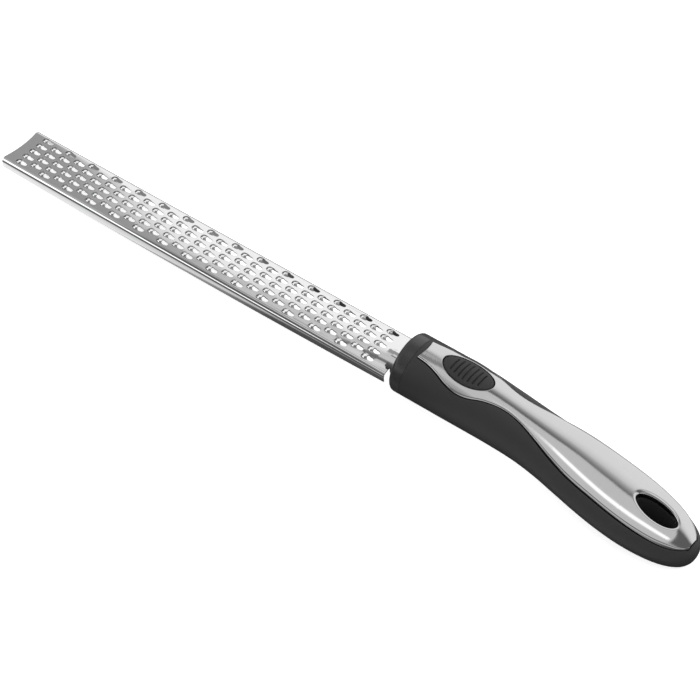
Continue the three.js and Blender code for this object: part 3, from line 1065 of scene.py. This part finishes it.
@dataclass(frozen=True)
class Oval:
    """An oval window on the handle's middle line."""

    middle: float
    half_length: float
    half_width: float

    @property
    def ends(self) -> Band:
        """Places of the oval's two ends."""
        return self.middle - self.half_length, self.middle + self.half_length

    def grown(self, by: float) -> "Oval":
        """The oval with a wider outline."""
        return Oval(self.middle, self.half_length + by, self.half_width + by)

    def stations(self, steps: int) -> np.ndarray:
        """Places along the oval, closer together at its ends."""
        return self.middle - self.half_length * np.cos(np.pi * np.arange(steps + 1) / steps)

    def half_at(self, at: np.ndarray) -> np.ndarray:
        """Half width at places from the mouth, 0 outside the oval."""
        share = 1 - ((at - self.middle) / self.half_length) ** 2
        return self.half_width * np.sqrt(np.clip(np.where(share < SPECK, 0, share), 0, None))

    def loop(self, steps: int) -> np.ndarray:
        """Goes along the near side and back along the far side.

        Args:
            steps: Number of steps on each side.

        Returns:
            Places from the mouth and places across, one row for each.
        """
        turn = np.pi * np.arange(2 * steps) / steps
        return np.stack((
            self.middle - self.half_length * np.cos(turn), -self.half_width * np.sin(turn)
        ))


@dataclass(frozen=True)
class Rim:
    """A window in the plate, with the band of plate round it and its rounding."""

    oval: Oval
    band: float
    rounding: float
    steps: int
    flat_steps: int = 2
    round_steps: int = 5

    @property
    def around(self) -> Oval:
        """Outline of the band."""
        return self.oval.grown(self.band)

    @property
    def shares(self) -> np.ndarray:
        """Divides the band and its rounding.

        Returns:
            Distances of the lines from the window.
        """
        flat = np.linspace(self.band, self.rounding, self.flat_steps + 1)[:-1]
        turn = np.linspace(0, np.pi / 2, self.round_steps + 1)
        return np.concatenate((flat, self.rounding * (1 - np.sin(turn))))

    def dip(self, away: float) -> float:
        """How far the rounding lies below the plate at a distance from the window."""
        sunk = max(self.rounding - away, 0.0)
        return self.rounding - math.sqrt(max(self.rounding**2 - sunk**2, 0.0))


@dataclass
class Handle:
    """Grip, collar, steel spine, thumb pad and hanging hole on one form."""

    shop: Workshop
    form: HandleForm = HandleForm()
    sleeve: float = 2.0
    grip_sink: float = 0.35  # below the form beside the raised plate
    sink_turn: float = 0.45  # radians over which it sinks
    grip_round: float = 0.15
    grip_steps: tuple[int, ...] = (84, 26, 6, 5)  # before, along and behind the hole, on the tail
    tail_places: tuple[float, ...] = (130.6, 130.9, 131.1)
    side_steps: int = 26
    top_steps: int = 12
    front_steps: int = 4
    mouth_round: float = 1.4
    mouth_lean: float = 0.9
    collar_face: float = 2.5
    collar_points: int = 112
    collar_shares: tuple[float, ...] = (0.0, 0.35, 0.7, 1.0)
    corner_steps: int = 6
    seam_top: float = 7.0
    seam_bottom: float = 4.0
    lug_width: float = 1.8
    lug_height: float = 2.4
    lug_reach: float = 2.0
    lug_hook: float = 4.3
    lug_round: float = 0.25
    hook_low: float = 0.75
    hook_high: float = 1.8
    slot_half: float = 6.5
    slot_low: float = -0.544
    slot_high: float = 2.0
    plate_places: tuple[float, ...] = (
        8.5, 13, 18, 23, 28.5, 34, 40, 46, 51, 57,
        65, 72, 80, 90, 100, 108, 116, 121.5, 125.5, 128, 129.1,
    )
    plate_half_widths: tuple[float, ...] = (
        5, 5.5, 6.7, 8.2, 8.9, 8.3, 6.4, 5.1, 4.85, 5.6,
        7.5, 9.2, 10.6, 11.3, 11.6, 11.3, 10.2, 8.6, 6.6, 4.4, 2.8,
    )
    plate_proud: float = 0.4
    plate_round: float = 0.9
    plate_lift: float = 0.6
    raised_places: tuple[float, ...] = (50.0, 75.0, 122.0, 129.0)
    plate_steps: tuple[int, ...] = (10, 57, 5)  # before, between and behind the windows
    plate_across: int = 12
    plate_turns: int = 5
    slope_step: float = 0.05  # over which the top's slope is measured
    front_hollow: float = 1.2
    front_radius: float = 11.0
    hollow_reach: float = 7.0
    window: Rim = Rim(Oval(28.5, 11.3, 6.0), band=0.7, rounding=0.3, steps=28)
    hang: Rim = Rim(Oval(113.0, 8.6, 4.2), band=2.2, rounding=1.4, steps=26)
    liner_wall: float = 1.0
    liner_round: float = 0.2
    liner_steps: int = 36
    pad: Oval = Oval(28.5, 11.0, 5.7)
    pad_proud: float = 0.3
    pad_round: float = 0.5
    pad_rim: float = 1.3
    pad_depth: float = 6.5
    pad_steps: int = 150
    pad_across: int = 26
    pad_turns: int = 4
    grooves: int = 7
    groove_pitch: float = 2.1
    groove_width: float = 0.8
    groove_depth: float = 0.6
    groove_margin: float = 1.5
    groove_walls: Band = (0.2, 0.5)  # shares of the width
    groove_ends: Band = (0.85, 1.05)

    @property
    def grip_hole(self) -> Oval:
        """Opening of the grip round the hanging hole's liner."""
        return self.hang.oval.grown(self.liner_wall + GAP)

    @property
    def grip_window(self) -> Band:
        """Ends of the grip's opening for the plate."""
        return self.plate_places[0] - GAP, self.plate_places[-1] + GAP

    def plate_half(self, at: np.ndarray) -> np.ndarray:
        """Half width of the spine plate at places from the mouth."""
        return smooth_curve(self.plate_places, self.plate_half_widths, at)

    def raised(self, at: np.ndarray) -> np.ndarray:
        """Share of the plate's extra height at places from the mouth."""
        start, full, fall, end = self.raised_places
        return ease((at - start) / (full - start)) * ease((end - at) / (end - fall))

    def plate_top(self, at: np.ndarray, y: np.ndarray) -> np.ndarray:
        """Height of the plate's top at places from the mouth and across."""
        return self.form.side(at, y, self.plate_proud + self.plate_lift * self.raised(at))

    def hollow(self, y: np.ndarray, grow: float) -> np.ndarray:
        """Gives how far the plate's front edge, or the opening round it, curves in.

        Args:
            y: Places across.
            grow: Width of the gap round the plate.

        Returns:
            Distances along the handle.
        """
        radius = self.front_radius - grow
        inside = np.sqrt(np.clip(radius**2 - np.square(y), 0, None))
        return np.maximum(inside - self.front_radius + self.front_hollow, -grow)

    def seam(self, z: np.ndarray) -> np.ndarray:
        """Place of the collar's slanted rear edge at a height."""
        top = self.form.half_heights[0]
        return self.seam_bottom + (self.seam_top - self.seam_bottom) * (z + top) / (2 * top)

    def grip_ring(self, at: float, offset: float, share: Optional[float]) -> np.ndarray:
        """Goes round the grip's outer or inner skin.

        Args:
            at: Place from the mouth.
            offset: How far the skin is set off from the form.
            share: In front of the plate, the share of the way from the collar to the plate.

        Returns:
            Points in the tool frame.
        """
        first, last = self.grip_window
        held = np.array(float(np.clip(at, first, last)))
        half = float(self.plate_half(held)) + GAP
        sunk = self.grip_sink * float(self.raised(held)) if offset == 0 else 0.0
        belly = max(float(self.form.wide(held)) + offset, self.form.least)
        wide = max(belly - sunk, self.form.least)
        top = math.asin(min(half / wide, MOST_SINE))
        low = math.asin(min(float(self.grip_hole.half_at(np.array(at))) / belly, MOST_SINE))
        near = -np.linspace(low, math.pi - top, self.side_steps + 1)
        across = np.linspace(-half, half, self.top_steps + 1)[1:-1]
        over = -np.pi - np.arcsin(np.clip(across / wide, -MOST_SINE, MOST_SINE))
        turn = np.concatenate((near, over, -near[::-1]))
        places = np.full(len(turn), at)
        if share is not None:
            height = -(float(self.form.high(held)) + offset) * np.cos(turn)
            begin = self.seam(height) + SEAM
            finish = np.full(len(turn), first)
            finish[len(near):-len(near)] = self.plate_places[0] + self.hollow(across, GAP)
            places = begin + (finish - begin) * share
        rise = ease((np.abs(turn) - math.pi / 2) / self.sink_turn)
        return self.form.ring(places, turn, offset - sunk * rise)

    def build_sleeve(self) -> None:
        """Builds the soft grip, open on top for the plate and below for the hanging hole."""
        hole = self.grip_hole
        first, last = self.grip_window
        before, along, behind, end = self.grip_steps
        body = np.concatenate((
            np.linspace(first, hole.ends[0], before, endpoint=False),
            hole.stations(along),
            np.linspace(hole.ends[1], last, behind + 1)[1:],
        ))
        tail = np.concatenate((
            np.linspace(last, self.tail_places[0], end + 1)[1:],
            self.tail_places[1:], [self.form.length],
        ))
        front = self.front_steps
        rows = [(first, k / front) for k in range(front + 1)]
        rows += [(at, None) for at in (*body[1:], *tail)]
        count = 2 * (self.side_steps + 1) + self.top_steps - 1
        window_rows = range(front, front + len(body) - 1)
        window_columns = range(self.side_steps, self.side_steps + self.top_steps)
        faces: Faces = [
            (r * count + c, r * count + c + 1, (r + 1) * count + c + 1, (r + 1) * count + c)
            for r in range(len(rows) - 1)
            for c in range(count - 1)
            if not (r in window_rows and c in window_columns)
        ]
        pole = len(rows) * count
        faces += [(c, c + 1, pole) for c in range(pole - count, pole - 1)]
        sides = []
        for offset in (0.0, -self.sleeve):
            rings = [self.grip_ring(at, offset, share) for at, share in rows]
            rings.append(np.array([[rings[-1][0, 0], 0.0, -self.form.drops[-1]]]))
            sides.append(np.vstack(rings))
        skin = Skin()
        skin.add(*sides, faces)
        finish = self.shop.palette.grip
        thing = self.shop.piece(
            "soft_grip", *skin.solid(), finish, sharp=45.0, bevel=self.grip_round
        )
        self.shop.mount(thing, "grip_sleeve", Slot.SOFT_GRIP)

    def build_collar(self) -> None:
        """Builds the hard ring at the mouth, with the tang's slot and its two lugs."""
        form, count = self.form, self.collar_points
        turn = 2 * np.pi * (np.arange(count) + 0.5) / count
        drop, top = form.drops[0], form.half_heights[0]

        def ring(at: Union[float, np.ndarray], inset: float, lean: float = 0.0) -> np.ndarray:
            """Goes round the collar.

            Args:
                at: Place or places from the mouth.
                inset: Depth below the form.
                lean: Share of the front's lean.

            Returns:
                Points in the tool frame.
            """
            held = np.broadcast_to(np.asarray(at, float), turn.shape)
            back = lean * self.mouth_lean * (1 + np.sin(turn)) / 2
            wide, high = form.wide(held) - inset, form.high(held) - inset
            return form.put(held + back, wide * np.cos(turn), high * np.sin(turn) - drop)

        middle = (self.slot_low + self.slot_high) / 2
        far = np.minimum(
            self.slot_half / np.maximum(np.abs(np.cos(turn)), TINY),
            (self.slot_high - middle) / np.maximum(np.abs(np.sin(turn)), TINY),
        )
        slot_y, slot_z = far * np.cos(turn), far * np.sin(turn) + middle
        leaned = self.mouth_lean * (1 + slot_z / top) / 2
        corner = [
            ring(self.mouth_round * (1 - math.cos(t)), self.mouth_round * (1 - math.sin(t)), 1.0)
            for t in np.linspace(0, math.pi / 2, self.corner_steps + 1)
        ]
        mouth = form.put(leaned, slot_y, slot_z)
        face = [mouth + (corner[0] - mouth) * share for share in self.collar_shares[:-1]]
        high = form.high(np.zeros(1))[0]
        begin = self.mouth_round + self.mouth_lean * (1 + np.sin(turn)) / 2
        seam = self.seam(high * np.sin(turn) - drop)
        outside = [ring(begin + (seam - begin) * share, 0.0) for share in self.collar_shares[1:]]
        inner_seam = self.seam((high - self.sleeve) * np.sin(turn) - drop)
        inside = [ring(inner_seam, self.sleeve), ring(self.collar_face, self.sleeve)]
        back = form.put(np.full(count, self.collar_face), slot_y, slot_z)
        rings = [*face, *corner, *outside, *inside, back]
        faces = ring_faces(len(rings), count, closed=True)
        thing = self.shop.piece("mouth_collar", np.vstack(rings), faces, self.shop.palette.collar)
        for side in (-1, 1):
            self.add_lug(thing, side)
        self.shop.mount(thing, "front_collar", Slot.HARD_BLACK)

    def add_lug(self, collar: bpy.types.Object, side: int, sharp: float = 40.0) -> None:
        """Joins one rounded lug to the collar's face.

        Args:
            collar: The collar.
            side: -1 for the near lug, 1 for the far one.
            sharp: Edges above this angle in degrees stay sharp.
        """
        near, far = sorted((side * self.slot_half, side * (self.slot_half + self.lug_width)))
        front, hook, rear = -self.lug_reach, -self.lug_hook, self.collar_face / 2
        half, under, over = self.lug_height / 2, self.hook_low, self.hook_high
        outline = (
            (rear, -half), (front, -half), (front, under), (hook, under), (hook, over), (rear, over)
        )
        count = len(outline)
        points = np.array([(self.form.mouth + x, y, z) for y in (near, far) for x, z in outline])
        faces = [tuple(range(count)), tuple(range(2 * count - 1, count - 1, -1))]
        faces += [(i, i + count, (i + 1) % count + count, (i + 1) % count) for i in range(count)]
        finish = self.shop.palette.collar
        lug = self.shop.piece("lug", points, faces, finish, sharp, self.lug_round)
        union = collar.modifiers.new("lug", "BOOLEAN")
        union.operation = "UNION"
        union.solver = "EXACT"
        union.object = lug
        settle(collar)
        bpy.data.objects.remove(lug)
        self.shop.shade(collar, sharp)

    def plate_sides(self, at: np.ndarray, y: np.ndarray, top: np.ndarray) -> list[np.ndarray]:
        """Points of the plate's top and underside at plan points, with the top's heights."""
        return [self.form.put(at, y, z) for z in (top, self.form.side(at, y, -self.sleeve))]

    def build_plate(self) -> None:
        """Builds the steel spine with its two windows and rounded edges."""
        skin = Skin()
        window, hang = self.window.around, self.hang.around
        front, end = self.plate_places[0], self.plate_places[-1]
        before, between, behind = self.plate_steps
        stations = np.concatenate((
            np.linspace(front, window.ends[0], before, endpoint=False),
            window.stations(self.window.steps),
            np.linspace(window.ends[1], hang.ends[0], between + 1)[1:-1],
            hang.stations(self.hang.steps),
            np.linspace(hang.ends[1], end, behind + 1)[1:],
        ))
        half = self.plate_half(stations)
        inner = window.half_at(stations) + hang.half_at(stations)
        brink, step, radius = half - self.plate_round, self.slope_step, self.plate_round
        fall = self.plate_top(stations, brink) - self.plate_top(stations, brink + step)
        tilt = np.arctan(fall / step)
        flat = half - radius * (1 - np.sin(tilt))
        across, turns = self.plate_across, self.plate_turns
        for side in (-1, 1):
            parts = []
            for i, at in enumerate(stations):
                bend = np.linspace(tilt[i], np.pi / 2, turns + 1)[1:]
                y = np.concatenate((
                    inner[i] + (flat[i] - inner[i]) * np.linspace(0, 1, across),
                    flat[i] + radius * (np.sin(bend) - math.sin(tilt[i])),
                ))
                fade = np.clip(1 - (at - front) / self.hollow_reach, 0, 1)
                places = at + self.hollow(y, 0.0) * fade**2
                top = self.plate_top(places, np.minimum(y, flat[i]))
                top[across:] -= radius * (math.cos(tilt[i]) - np.cos(bend))
                parts.append(self.plate_sides(places, side * y, top))
            faces = grid_faces(len(stations), across + turns)
            if side < 0:
                faces = [tuple(reversed(f)) for f in faces]
            skin.add(*map(np.vstack, zip(*parts)), faces)
        for rim in (self.window, self.hang):
            parts = []
            for away in map(float, rim.shares):
                at, y = rim.oval.grown(away).loop(rim.steps)
                parts.append(self.plate_sides(at, y, self.plate_top(at, y) - rim.dip(away)))
            skin.add(*map(np.vstack, zip(*parts)), ring_faces(len(parts), 2 * rim.steps))
        finish = self.shop.palette.spine
        thing = self.shop.piece("spine_plate_steel", *skin.solid(), finish, sharp=42.0)
        self.shop.mount(thing, "spine_plate", Slot.BRUSHED_SPINE)

    def groove_shape(self) -> NodeShape:
        """Makes the Geometry Nodes that press the row of grooves into the pad's top.

        Returns:
            The tree, ready to run.
        """
        shape = NodeShape("pad_grooves", {
            "Grooves": self.grooves,
            "Groove Pitch": self.groove_pitch,
            "Groove Width": self.groove_width,
            "Groove Depth": self.groove_depth,
            "Middle": self.form.mouth + self.pad.middle,
            "Half Length": self.pad.half_length - self.groove_margin,
            "Half Width": self.pad.half_width - self.groove_margin,
        })
        graph = shape.graph
        x, y, _ = graph.split(graph.add("GeometryNodeInputPosition"))
        along = x - shape.size("Middle")
        pitch, width = shape.size("Groove Pitch"), shape.size("Groove Width")
        near = graph.math("ABSOLUTE", along - pitch * graph.math("ROUND", along / pitch))
        cut = 1 - near.rise(*(width * share for share in self.groove_walls))
        reach = pitch * shape.size("Grooves") * 0.5
        within = graph.math("LESS_THAN", graph.math("ABSOLUTE", along), reach)
        u, v = along / shape.size("Half Length"), y / shape.size("Half Width")
        ends = 1 - (u * u + v * v).rise(*self.groove_ends)
        press = 0.0 - shape.size("Groove Depth") * cut * within * ends
        shape.end(graph.add("GeometryNodeSetPosition", {
            "Geometry": shape.size("Geometry"), "Offset": graph.join(z=press),
        }))
        return shape

    def build_pad(self) -> None:
        """Builds the oval thumb rest with its grooves, and the rim under the plate."""
        form, finish = self.form, self.shop.palette.pad
        oval = self.pad.grown(-self.pad_round)
        steps, across = self.pad_steps, self.pad_across
        at = oval.stations(steps)
        x = np.repeat(at, across + 1)
        y = (oval.half_at(at)[:, None] * np.linspace(-1, 1, across + 1)).ravel()
        points, faces = self.groove_shape().run(
            form.put(x, y, form.side(x, y, self.pad_proud)),
            grid_faces(steps + 1, across + 1),
            self.shop.palette.get(finish),
        )
        middle = np.array([self.pad.middle])
        floor = form.side(middle, np.zeros(1), self.pad_proud) - self.pad_depth
        rings = []
        for turn in np.linspace(0, np.pi / 2, self.pad_turns + 1):
            loop = oval.grown(self.pad_round * math.sin(turn)).loop(steps)
            level = form.side(*loop, self.pad_proud) - self.pad_round * (1 - math.cos(turn))
            rings.append(form.put(*loop, level))
        for grow in (0.0, self.pad_rim):
            loop = self.pad.grown(grow).loop(steps)
            rings.append(form.put(*loop, form.side(*loop, -self.sleeve - GAP)))
        rings.append(form.put(*loop, np.repeat(floor, 2 * steps)))
        base, count = len(points), 2 * steps
        pole = base + len(rings) * count
        faces += [tuple(base + i for i in f) for f in ring_faces(len(rings), count)]
        faces += [(pole - count + i, pole - count + (i + 1) % count, pole) for i in range(count)]
        points = np.vstack((points, *rings, form.put(middle, np.zeros(1), floor)))
        thing = self.shop.piece("thumb_rest", points, faces, finish, sharp=50.0)
        self.shop.mount(thing, "thumb_pad", Slot.SOFT_GRIP)

    def build_liner(self) -> None:
        """Builds the tube that lines the hanging hole."""
        rings = []
        for grow, up in ((0.0, 1), (0.0, -1), (self.liner_wall, -1), (self.liner_wall, 1)):
            loop = self.hang.oval.grown(grow).loop(self.liner_steps)
            offset = -self.sleeve - GAP if up > 0 else 0.0
            rings.append(self.form.put(*loop, self.form.side(*loop, offset, up)))
        faces = ring_faces(len(rings), 2 * self.liner_steps, closed=True)
        finish = self.shop.palette.liner
        thing = self.shop.piece(
            "hanging_hole_tube", np.vstack(rings), faces, finish, bevel=self.liner_round
        )
        self.shop.mount(thing, "hang_hole_liner", Slot.HARD_BLACK)

    def build(self) -> None:
        """Builds every piece of the handle that shows."""
        self.build_sleeve()
        self.build_collar()
        self.build_plate()
        self.build_pad()
        self.build_liner()


@dataclass
class InnerWorks:
    """Hidden solids that keep the frame's own shape and get a finish."""

    palette: Palette
    cores: tuple[str, ...] = ("core_upper", "core_lower")
    hardware: tuple[str, ...] = (
        "tang_pin_1", "tang_pin_2", "plate_screw_1", "plate_screw_2", "plate_screw_3",
    )

    def build(self) -> None:
        """Gives each hidden solid its material."""
        palette = self.palette
        for names, finish in ((self.cores, palette.core), (self.hardware, palette.hardware)):
            for name in names:
                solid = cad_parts[name]
                solid.data.materials.clear()
                solid.data.materials.append(palette.get(finish))
                log.info("%s: kept as packed", name)


@dataclass
class Viewpoint:
    """The camera, where the picture was taken."""

    focal: float = 110.571
    sensor: float = 36.0
    spot: tuple[float, float, float] = (0.325565, -0.455223, 0.634251)
    right: tuple[float, float, float] = (0.788671, 0.613104, 0.045841)
    down: tuple[float, float, float] = (0.485431, -0.575210, -0.658399)
    ahead: tuple[float, float, float] = (-0.377299, 0.541513, -0.751272)

    def build(self) -> None:
        """Sets the camera."""
        data = bpy.data.cameras.new("view")
        data.sensor_width = self.sensor
        data.lens = self.focal
        eye = bpy.data.objects.new("view", data)
        columns = (self.right, [-v for v in self.down], [-v for v in self.ahead], self.spot)
        eye.matrix_world = Matrix([[c[i] for c in columns] for i in range(3)] + [[0, 0, 0, 1]])
        bpy.context.scene.collection.objects.link(eye)
        bpy.context.scene.camera = eye


@dataclass
class Floor:
    """Pale floor that keeps the tool's shadow; lengths in metres.

    What the steel mirrors of it has a painted pool of light beside the blade and the grip, and a
    painted shadow.
    """

    size: float = 30.0
    tone: float = 0.82
    glow: float = 0.78
    # painted shade: share of its tone that the mirrored floor keeps outside the painted pools
    dusk: float = 0.2
    # painted pool of light beside the blade, in what the steel mirrors
    blade_side: float = 0.0114
    pool_width: float = 0.0145  # beside the tool's middle
    pool_growth: float = 0.058
    pool_fade: Band = (1.3, 0.1)
    root_ends: Band = (-0.05, 0.01)
    root_loss: float = 0.4
    # painted shadow of the tool, its edge moving out towards the grip, and the painted light left
    # under the blade
    shade_growth: float = 0.0745
    shade_edge: Band = (0.0214, 0.0205)
    under_ends: Band = (-0.02, -0.075)
    under_level: float = 0.3
    tip_ends: Band = (-0.24, -0.2)
    # painted pool of light beside the grip
    flank_edge: Band = (0.018, 0.03)
    flank_level: float = 0.55
    grip_ends: Band = (0.03, 0.06)

    def light(self, x: Wire, spread: Wire) -> Wire:
        """Finds the painted light of the mirrored floor: pools of light and the tool's painted shadow.

        Args:
            x: Place along the tool.
            spread: Distance from the tool's middle line.

        Returns:
            The share of the floor's glow.
        """
        # painted pool of light beside the blade, fainter towards the grip
        pool = (spread - self.blade_side) / (x * self.pool_growth + self.pool_width)
        pool = pool.rise(*self.pool_fade) * (1 - x.rise(*self.root_ends) * self.root_loss)
        # painted shadow of the tool on the mirrored floor
        shade = (spread - x * self.shade_growth).rise(*self.shade_edge)
        # painted light left under the blade, towards the tip
        under = x.rise(*self.under_ends) * self.under_level
        beside_blade = shade.blend(pool, under) * x.rise(*self.tip_ends)
        # painted pool of light beside the grip
        beside_grip = spread.rise(*self.flank_edge) * self.flank_level
        return x.rise(*self.grip_ends).blend(beside_blade, beside_grip)

    def build(self) -> None:
        """Lays the floor."""
        corners = np.array([(-1, -1, 0), (1, -1, 0), (1, 1, 0), (-1, 1, 0)]) * self.size / 2
        thing = link_mesh("floor", corners, [(0, 1, 2, 3)])
        made = bpy.data.materials.new("pale_floor")
        made.use_nodes = True
        graph = Graph(made.node_tree)
        seen = graph.add("ShaderNodeLightPath").out("Is Camera Ray")
        mirrored = graph.math(
            "MAXIMUM", seen.out("Is Glossy Ray"), seen.out("Is Transmission Ray")
        )
        x, y, _ = graph.split(graph.add("ShaderNodeTexCoord").out("Object"))
        # painted light and shade of the floor, shown only in the steel's reflections
        painted_light_share = self.light(x, graph.math("ABSOLUTE", y))
        # painted shade: the mirrored floor darkens outside the painted pools
        painted_shade_share = mirrored * (1 - painted_light_share) * (1 - self.dusk)
        plain = graph.add("ShaderNodeBsdfDiffuse", {
            "Color": graph.mix(painted_shade_share, grey(self.tone), grey(0.0)),
        })
        # even glow for the camera, plus the painted pool of light in reflections
        glow = graph.add("ShaderNodeEmission", {"Strength": (seen + mirrored * painted_light_share) * self.glow})
        both = graph.add("ShaderNodeAddShader", {0: plain, 1: glow})
        below = graph.add("ShaderNodeNewGeometry").out("Backfacing")
        clear = graph.add("ShaderNodeBsdfTransparent")
        sided = graph.add("ShaderNodeMixShader", {0: below, 1: both, 2: clear})
        graph.add("ShaderNodeOutputMaterial", {"Surface": sided})
        thing.data.materials.append(made)


class Axis(Enum):
    """Ways across which the studio's light changes; ROUND is the angle round the tool."""

    ALONG = (1.0, 0.0, 0.0)
    ACROSS = (0.0, 1.0, 0.0)
    UP = (0.0, 0.0, 1.0)
    WALL = (0.79, 0.555, 0.26)
    PANEL = (0.64, -0.72, 0.26)
    SHELF_FOOT = (0.0, 1.0, -0.344)
    SHELF_TOP = (0.0, 1.0, -0.17)
    ROUND = (0.0, 0.0, 0.0)


Bound = tuple[Axis, float, float]
TIPWARD: Bound = (Axis.ALONG, -0.437, -0.452)  # the part that the blade mirrors


@dataclass(frozen=True)
class Patch:
    """A soft-edged part of the studio with its level of light."""

    level: float
    bounds: tuple[Bound, ...]

    def share(self, at: dict[Axis, Wire]) -> Wire:
        """How far a direction lies in the patch."""
        return math.prod(at[axis].rise(low, high) for axis, low, high in self.bounds)

    def glow(self, at: dict[Axis, Wire]) -> Wire:
        """Light of the patch alone."""
        return self.share(at) * self.level

    def over(self, light: Wire, at: dict[Axis, Wire]) -> Wire:
        """Lays the patch over other light."""
        return self.share(at).blend(light, self.level)


@dataclass
class Sky:
    """Soft light of a white studio with darker gaps; its ramps climb with the angle round the tool."""

    gain: float = 0.84
    wall_gain: float = 1.95
    wall_soft: Band = (-0.03, 0.03)
    wall_middle: float = 0.08
    wall_slant: float = 0.2
    wall_levels: Stops = (
        (0.0, 0.86), (0.6, 0.86), (0.7, 0.8), (0.776, 0.7), (0.816, 0.53), (0.843, 0.4),
        (0.87, 0.3), (0.9, 0.18), (0.92, 0.13),
    )
    blade_wall_levels: Stops = (
        (0.0, 0.15), (0.3, 0.15), (0.5, 0.86), (0.77, 0.84), (0.82, 0.74), (0.85, 0.4),
        (0.875, 0.22), (0.91, 0.18),
    )
    left_levels: Stops = ((0.0, 0.1), (0.2, 0.2), (0.4, 0.5), (0.6, 0.55), (0.9, 0.55))
    near_side: Band = (-0.05, -0.3)
    near_levels: Stops = (
        (0.0, 0.75), (0.28, 0.75), (0.36, 0.12), (0.55, 0.15), (0.7, 0.6), (0.8, 0.9), (1.0, 1.0),
    )
    blade_near_levels: Stops = ((0.0, 0.02), (0.04, 1.0), (0.4, 1.0), (0.48, 0.06), (1.0, 0.1))
    box_level: float = 2.4
    box_ends: Band = (-0.63, -0.495)
    box_middle: float = -0.53
    box_slant: float = 3.3
    tip_lift: Patch = Patch(0.6, ((Axis.ALONG, -0.55, -0.58), (Axis.ALONG, -0.66, -0.63)))
    low_wall: Patch = Patch(0.6, ((Axis.ROUND, 0.45, 0.3), (Axis.ALONG, -0.66, -0.6), TIPWARD))
    hood_shade: Patch = Patch(0.7, ((Axis.ALONG, -0.83, -0.89),))
    deck_light: Patch = Patch(1.02, (
        (Axis.ALONG, -0.57, -0.51), (Axis.ROUND, 0.82, 0.87), (Axis.ROUND, 0.965, 0.945), TIPWARD,
    ))
    deck_streak: Patch = Patch(0.2, (
        (Axis.ROUND, 0.885, 0.895), (Axis.ROUND, 0.925, 0.912), (Axis.ALONG, -0.488, -0.474),
        TIPWARD,
    ))
    panel: Patch = Patch(1.25, ((Axis.PANEL, -0.008, 0.008), (Axis.UP, 0.78, 0.84)))
    shelf: Patch = Patch(1.25, (
        (Axis.SHELF_FOOT, 0.0, -0.02), (Axis.SHELF_TOP, -0.02, 0.0), TIPWARD,
        (Axis.ALONG, -0.5, -0.47),
    ))
    strip: Patch = Patch(2.7, (
        (Axis.ACROSS, 0.0, -0.06), (Axis.ACROSS, -0.2, -0.13), (Axis.UP, 0.85, 0.9),
        (Axis.ALONG, -0.13, -0.05),
    ))
    hood_crest: Patch = Patch(1.7, (
        (Axis.ALONG, -0.63, -0.67), (Axis.ALONG, -0.86, -0.8), (Axis.UP, 0.36, 0.44),
    ))

    @staticmethod
    def ways(graph: Graph) -> dict[Axis, Wire]:
        """Measures a direction across each axis.

        Args:
            graph: The world's nodes.

        Returns:
            A wire for each axis.
        """
        way = graph.add("ShaderNodeTexCoord").out("Generated")
        at = {
            axis: graph.add(
                "ShaderNodeVectorMath", {0: way, 1: axis.value}, operation="DOT_PRODUCT"
            ).out("Value")
            for axis in Axis
            if axis is not Axis.ROUND
        }
        across, up = at[Axis.ACROSS], at[Axis.UP]
        at[Axis.ROUND] = up / graph.math("SQRT", across * across + up * up)
        return at

    def build(self) -> None:
        """Makes the studio's walls and panels as light from each direction."""
        world = bpy.data.worlds.new("studio")
        world.use_nodes = True
        bpy.context.scene.world = world
        graph = Graph(world.node_tree)
        at = self.ways(graph)
        x, height = at[Axis.ALONG], at[Axis.ROUND]
        tipward = x.rise(*TIPWARD[1:])
        bare = graph.climb(height + (x - self.wall_middle) * self.wall_slant, self.wall_levels)
        wall = tipward.blend(bare, graph.climb(height, self.blade_wall_levels))
        wall = (wall + self.low_wall.glow(at)) * self.wall_gain
        left = graph.climb(height, self.left_levels) * (1 - self.hood_shade.glow(at))
        least, most = self.box_ends
        held = graph.math("MINIMUM", graph.math("MAXIMUM", x, least), most)
        turned = height + (held - self.box_middle) * self.box_slant
        box = graph.climb(turned, self.blade_near_levels) * self.box_level + self.tip_lift.glow(at)
        near = tipward.blend(graph.climb(height, self.near_levels), box)
        light = at[Axis.WALL].rise(*self.wall_soft).blend(left, wall)
        light = self.deck_streak.over(self.deck_light.over(light, at), at)
        light = at[Axis.ACROSS].rise(*self.near_side).blend(light, near)
        for patch in (self.panel, self.shelf, self.strip, self.hood_crest):
            light = patch.over(light, at)
        seen = graph.add("ShaderNodeLightPath").out("Is Camera Ray")
        level = seen.blend(light * self.gain, 1.0)
        back = graph.add("ShaderNodeBackground", {"Color": grey(1.0), "Strength": level})
        graph.add("ShaderNodeOutputWorld", {"Surface": back})
        bpy.context.scene.view_settings.view_transform = "Standard"


def lay_down(form: HandleForm, flange_depth: float) -> ToolFrame:
    """Finds how the tool lies on its tip corners and its tail.

    Args:
        form: The handle's form.
        flange_depth: Depth of the blade's flanges at the tip.

    Returns:
        The tool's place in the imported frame.
    """
    lean = max(
        math.atan2(high + drop - flange_depth, form.mouth + at)
        for at, high, drop in zip(form.places, form.half_heights, form.drops)
    )
    return ToolFrame(lean, cad_low.x, flange_depth * math.cos(lean) * MM)


def main() -> None:
    """Builds the tool and its studio."""
    logging.basicConfig(level=logging.INFO, format="%(name)s: %(message)s")
    palette = Palette()
    shop = Workshop(lay_down(HandleForm(), Blade.flange_depth), palette)
    for part in (Viewpoint(), Floor(), Sky(), Blade(shop), Handle(shop), InnerWorks(palette)):
        part.build()
        log.info("%s: built", type(part).__name__)
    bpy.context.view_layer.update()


if __name__ == "__main__":
    main()
